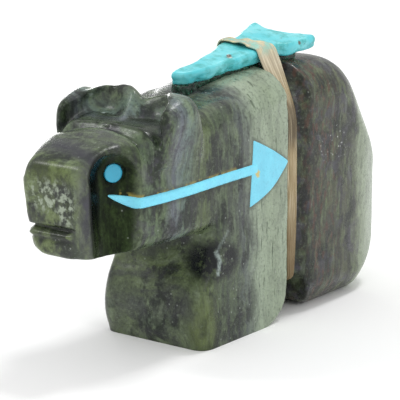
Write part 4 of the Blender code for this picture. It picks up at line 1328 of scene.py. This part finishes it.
# lamps of the stage: name, place and size in metres, power in watts; all look at the middle of the bear
MIDDLE = (0.0, 0.003, 0.018)
LAMPS = (("soft_key", (-1.0, -0.85, 1.15), 0.25, 6.0), ("soft_rim", (-1.1, 0.9, 0.28), 0.3, 2.0),
         ("soft_side", (1.3, -0.35, 0.75), 0.3, 2.5), ("soft_top", (0.1, 0.5, 1.5), 0.3, 8.0))
# the photograph's view: degrees round from the side and above it, place in metres, lens in millimetres
CAMERA_TURN, CAMERA_LIFT = 37.0, 13.0
CAMERA_PLACE = (0.141349, -0.18743, 0.071863)
CAMERA_LENS = 158.625


def lamp(name, place, size, power):
    """Square area lamp that looks at the middle of the bear."""
    data = bpy.data.lights.new(name, "AREA")
    data.shape = "SQUARE"
    data.size = size
    data.energy = power
    obj = link(name, data)
    obj.location = place
    obj.rotation_euler = (Vector(MIDDLE) - Vector(place)).to_track_quat("-Z", "Y").to_euler()


class BEAR_OT_stage(bpy.types.Operator):
    """Set up the pale floor, the soft studio light and the camera"""
    bl_idname = "bear.stage"
    bl_label = "Set the stage"

    def execute(self, context):
        scene = context.scene
        bm = bmesh.new()
        bmesh.ops.create_grid(bm, x_segments=1, y_segments=1, size=3.0)
        mesh = bpy.data.meshes.new("studio_floor")
        bm.to_mesh(mesh)
        bm.free()
        floor = link("studio_floor", mesh)
        # matt card: a nearly white, dull ground that only takes a soft shadow
        material = bpy.data.materials.new("matt_white_board")
        material.use_nodes = True
        shader = material.node_tree.nodes["Principled BSDF"]
        shader.inputs["Base Color"].default_value = (*colours().floor, 1.0)
        shader.inputs["Roughness"].default_value = 0.9
        shader.inputs["Specular IOR Level"].default_value = 0.1
        mesh.materials.append(material)
        for name, place, size, power in LAMPS:
            lamp(name, place, size, power)
        world = bpy.data.worlds.new("light_tent")
        world.use_nodes = True
        light = world.node_tree.nodes["Background"]
        light.inputs["Color"].default_value = (1.0, 1.0, 1.0, 1.0)
        light.inputs["Strength"].default_value = 0.8
        scene.world = world
        scene.view_settings.view_transform = "Standard"
        turn, lift = math.radians(CAMERA_TURN), math.radians(CAMERA_LIFT)
        right = Vector((math.cos(turn), math.sin(turn), 0.0))
        back = Vector((math.sin(turn) * math.cos(lift), -math.cos(turn) * math.cos(lift), math.sin(lift)))
        up = back.cross(right)
        data = bpy.data.cameras.new("studio_camera")
        data.sensor_width = 36.0
        data.lens = CAMERA_LENS
        data.clip_start = 0.01
        camera = link("studio_camera", data)
        pose = Matrix((right, up, back)).transposed().to_4x4()
        pose.translation = Vector(CAMERA_PLACE)
        camera.matrix_world = pose
        scene.camera = camera
        return {"FINISHED"}


class BEAR_PT_panel(bpy.types.Panel):
    """Lists the steps that make the bear"""
    bl_idname = "BEAR_PT_panel"
    bl_label = "Serpentine bear"
    bl_space_type = "VIEW_3D"
    bl_region_type = "UI"
    bl_category = "Bear"

    def draw(self, context):
        for step in STEPS:
            self.layout.operator(step)
        for group in (context.scene.bear_sizes, context.scene.bear_colours):
            column = self.layout.column()
            for name in group.__annotations__:
                column.prop(group, name)


STEPS = ("bear.carve", "bear.inlay", "bear.offering", "bear.tie", "bear.stage")
CLASSES = (BearSizes, BearColours, BEAR_OT_carve, BEAR_OT_inlay, BEAR_OT_offering, BEAR_OT_tie, BEAR_OT_stage,
           BEAR_PT_panel)


def register():
    """Adds the properties, the steps and the panel to Blender."""
    for item in CLASSES:
        bpy.utils.register_class(item)
    bpy.types.Scene.bear_sizes = PointerProperty(type=BearSizes)
    bpy.types.Scene.bear_colours = PointerProperty(type=BearColours)


def unregister():
    """Takes them out again."""
    del bpy.types.Scene.bear_colours
    del bpy.types.Scene.bear_sizes
    for item in reversed(CLASSES):
        bpy.utils.unregister_class(item)


def main():
    """Makes the pieces and the stage in order."""
    register()
    bpy.ops.bear.carve()
    bpy.ops.bear.inlay()
    bpy.ops.bear.offering()
    bpy.ops.bear.tie()
    bpy.ops.bear.stage()


if __name__ == "__main__":
    main()
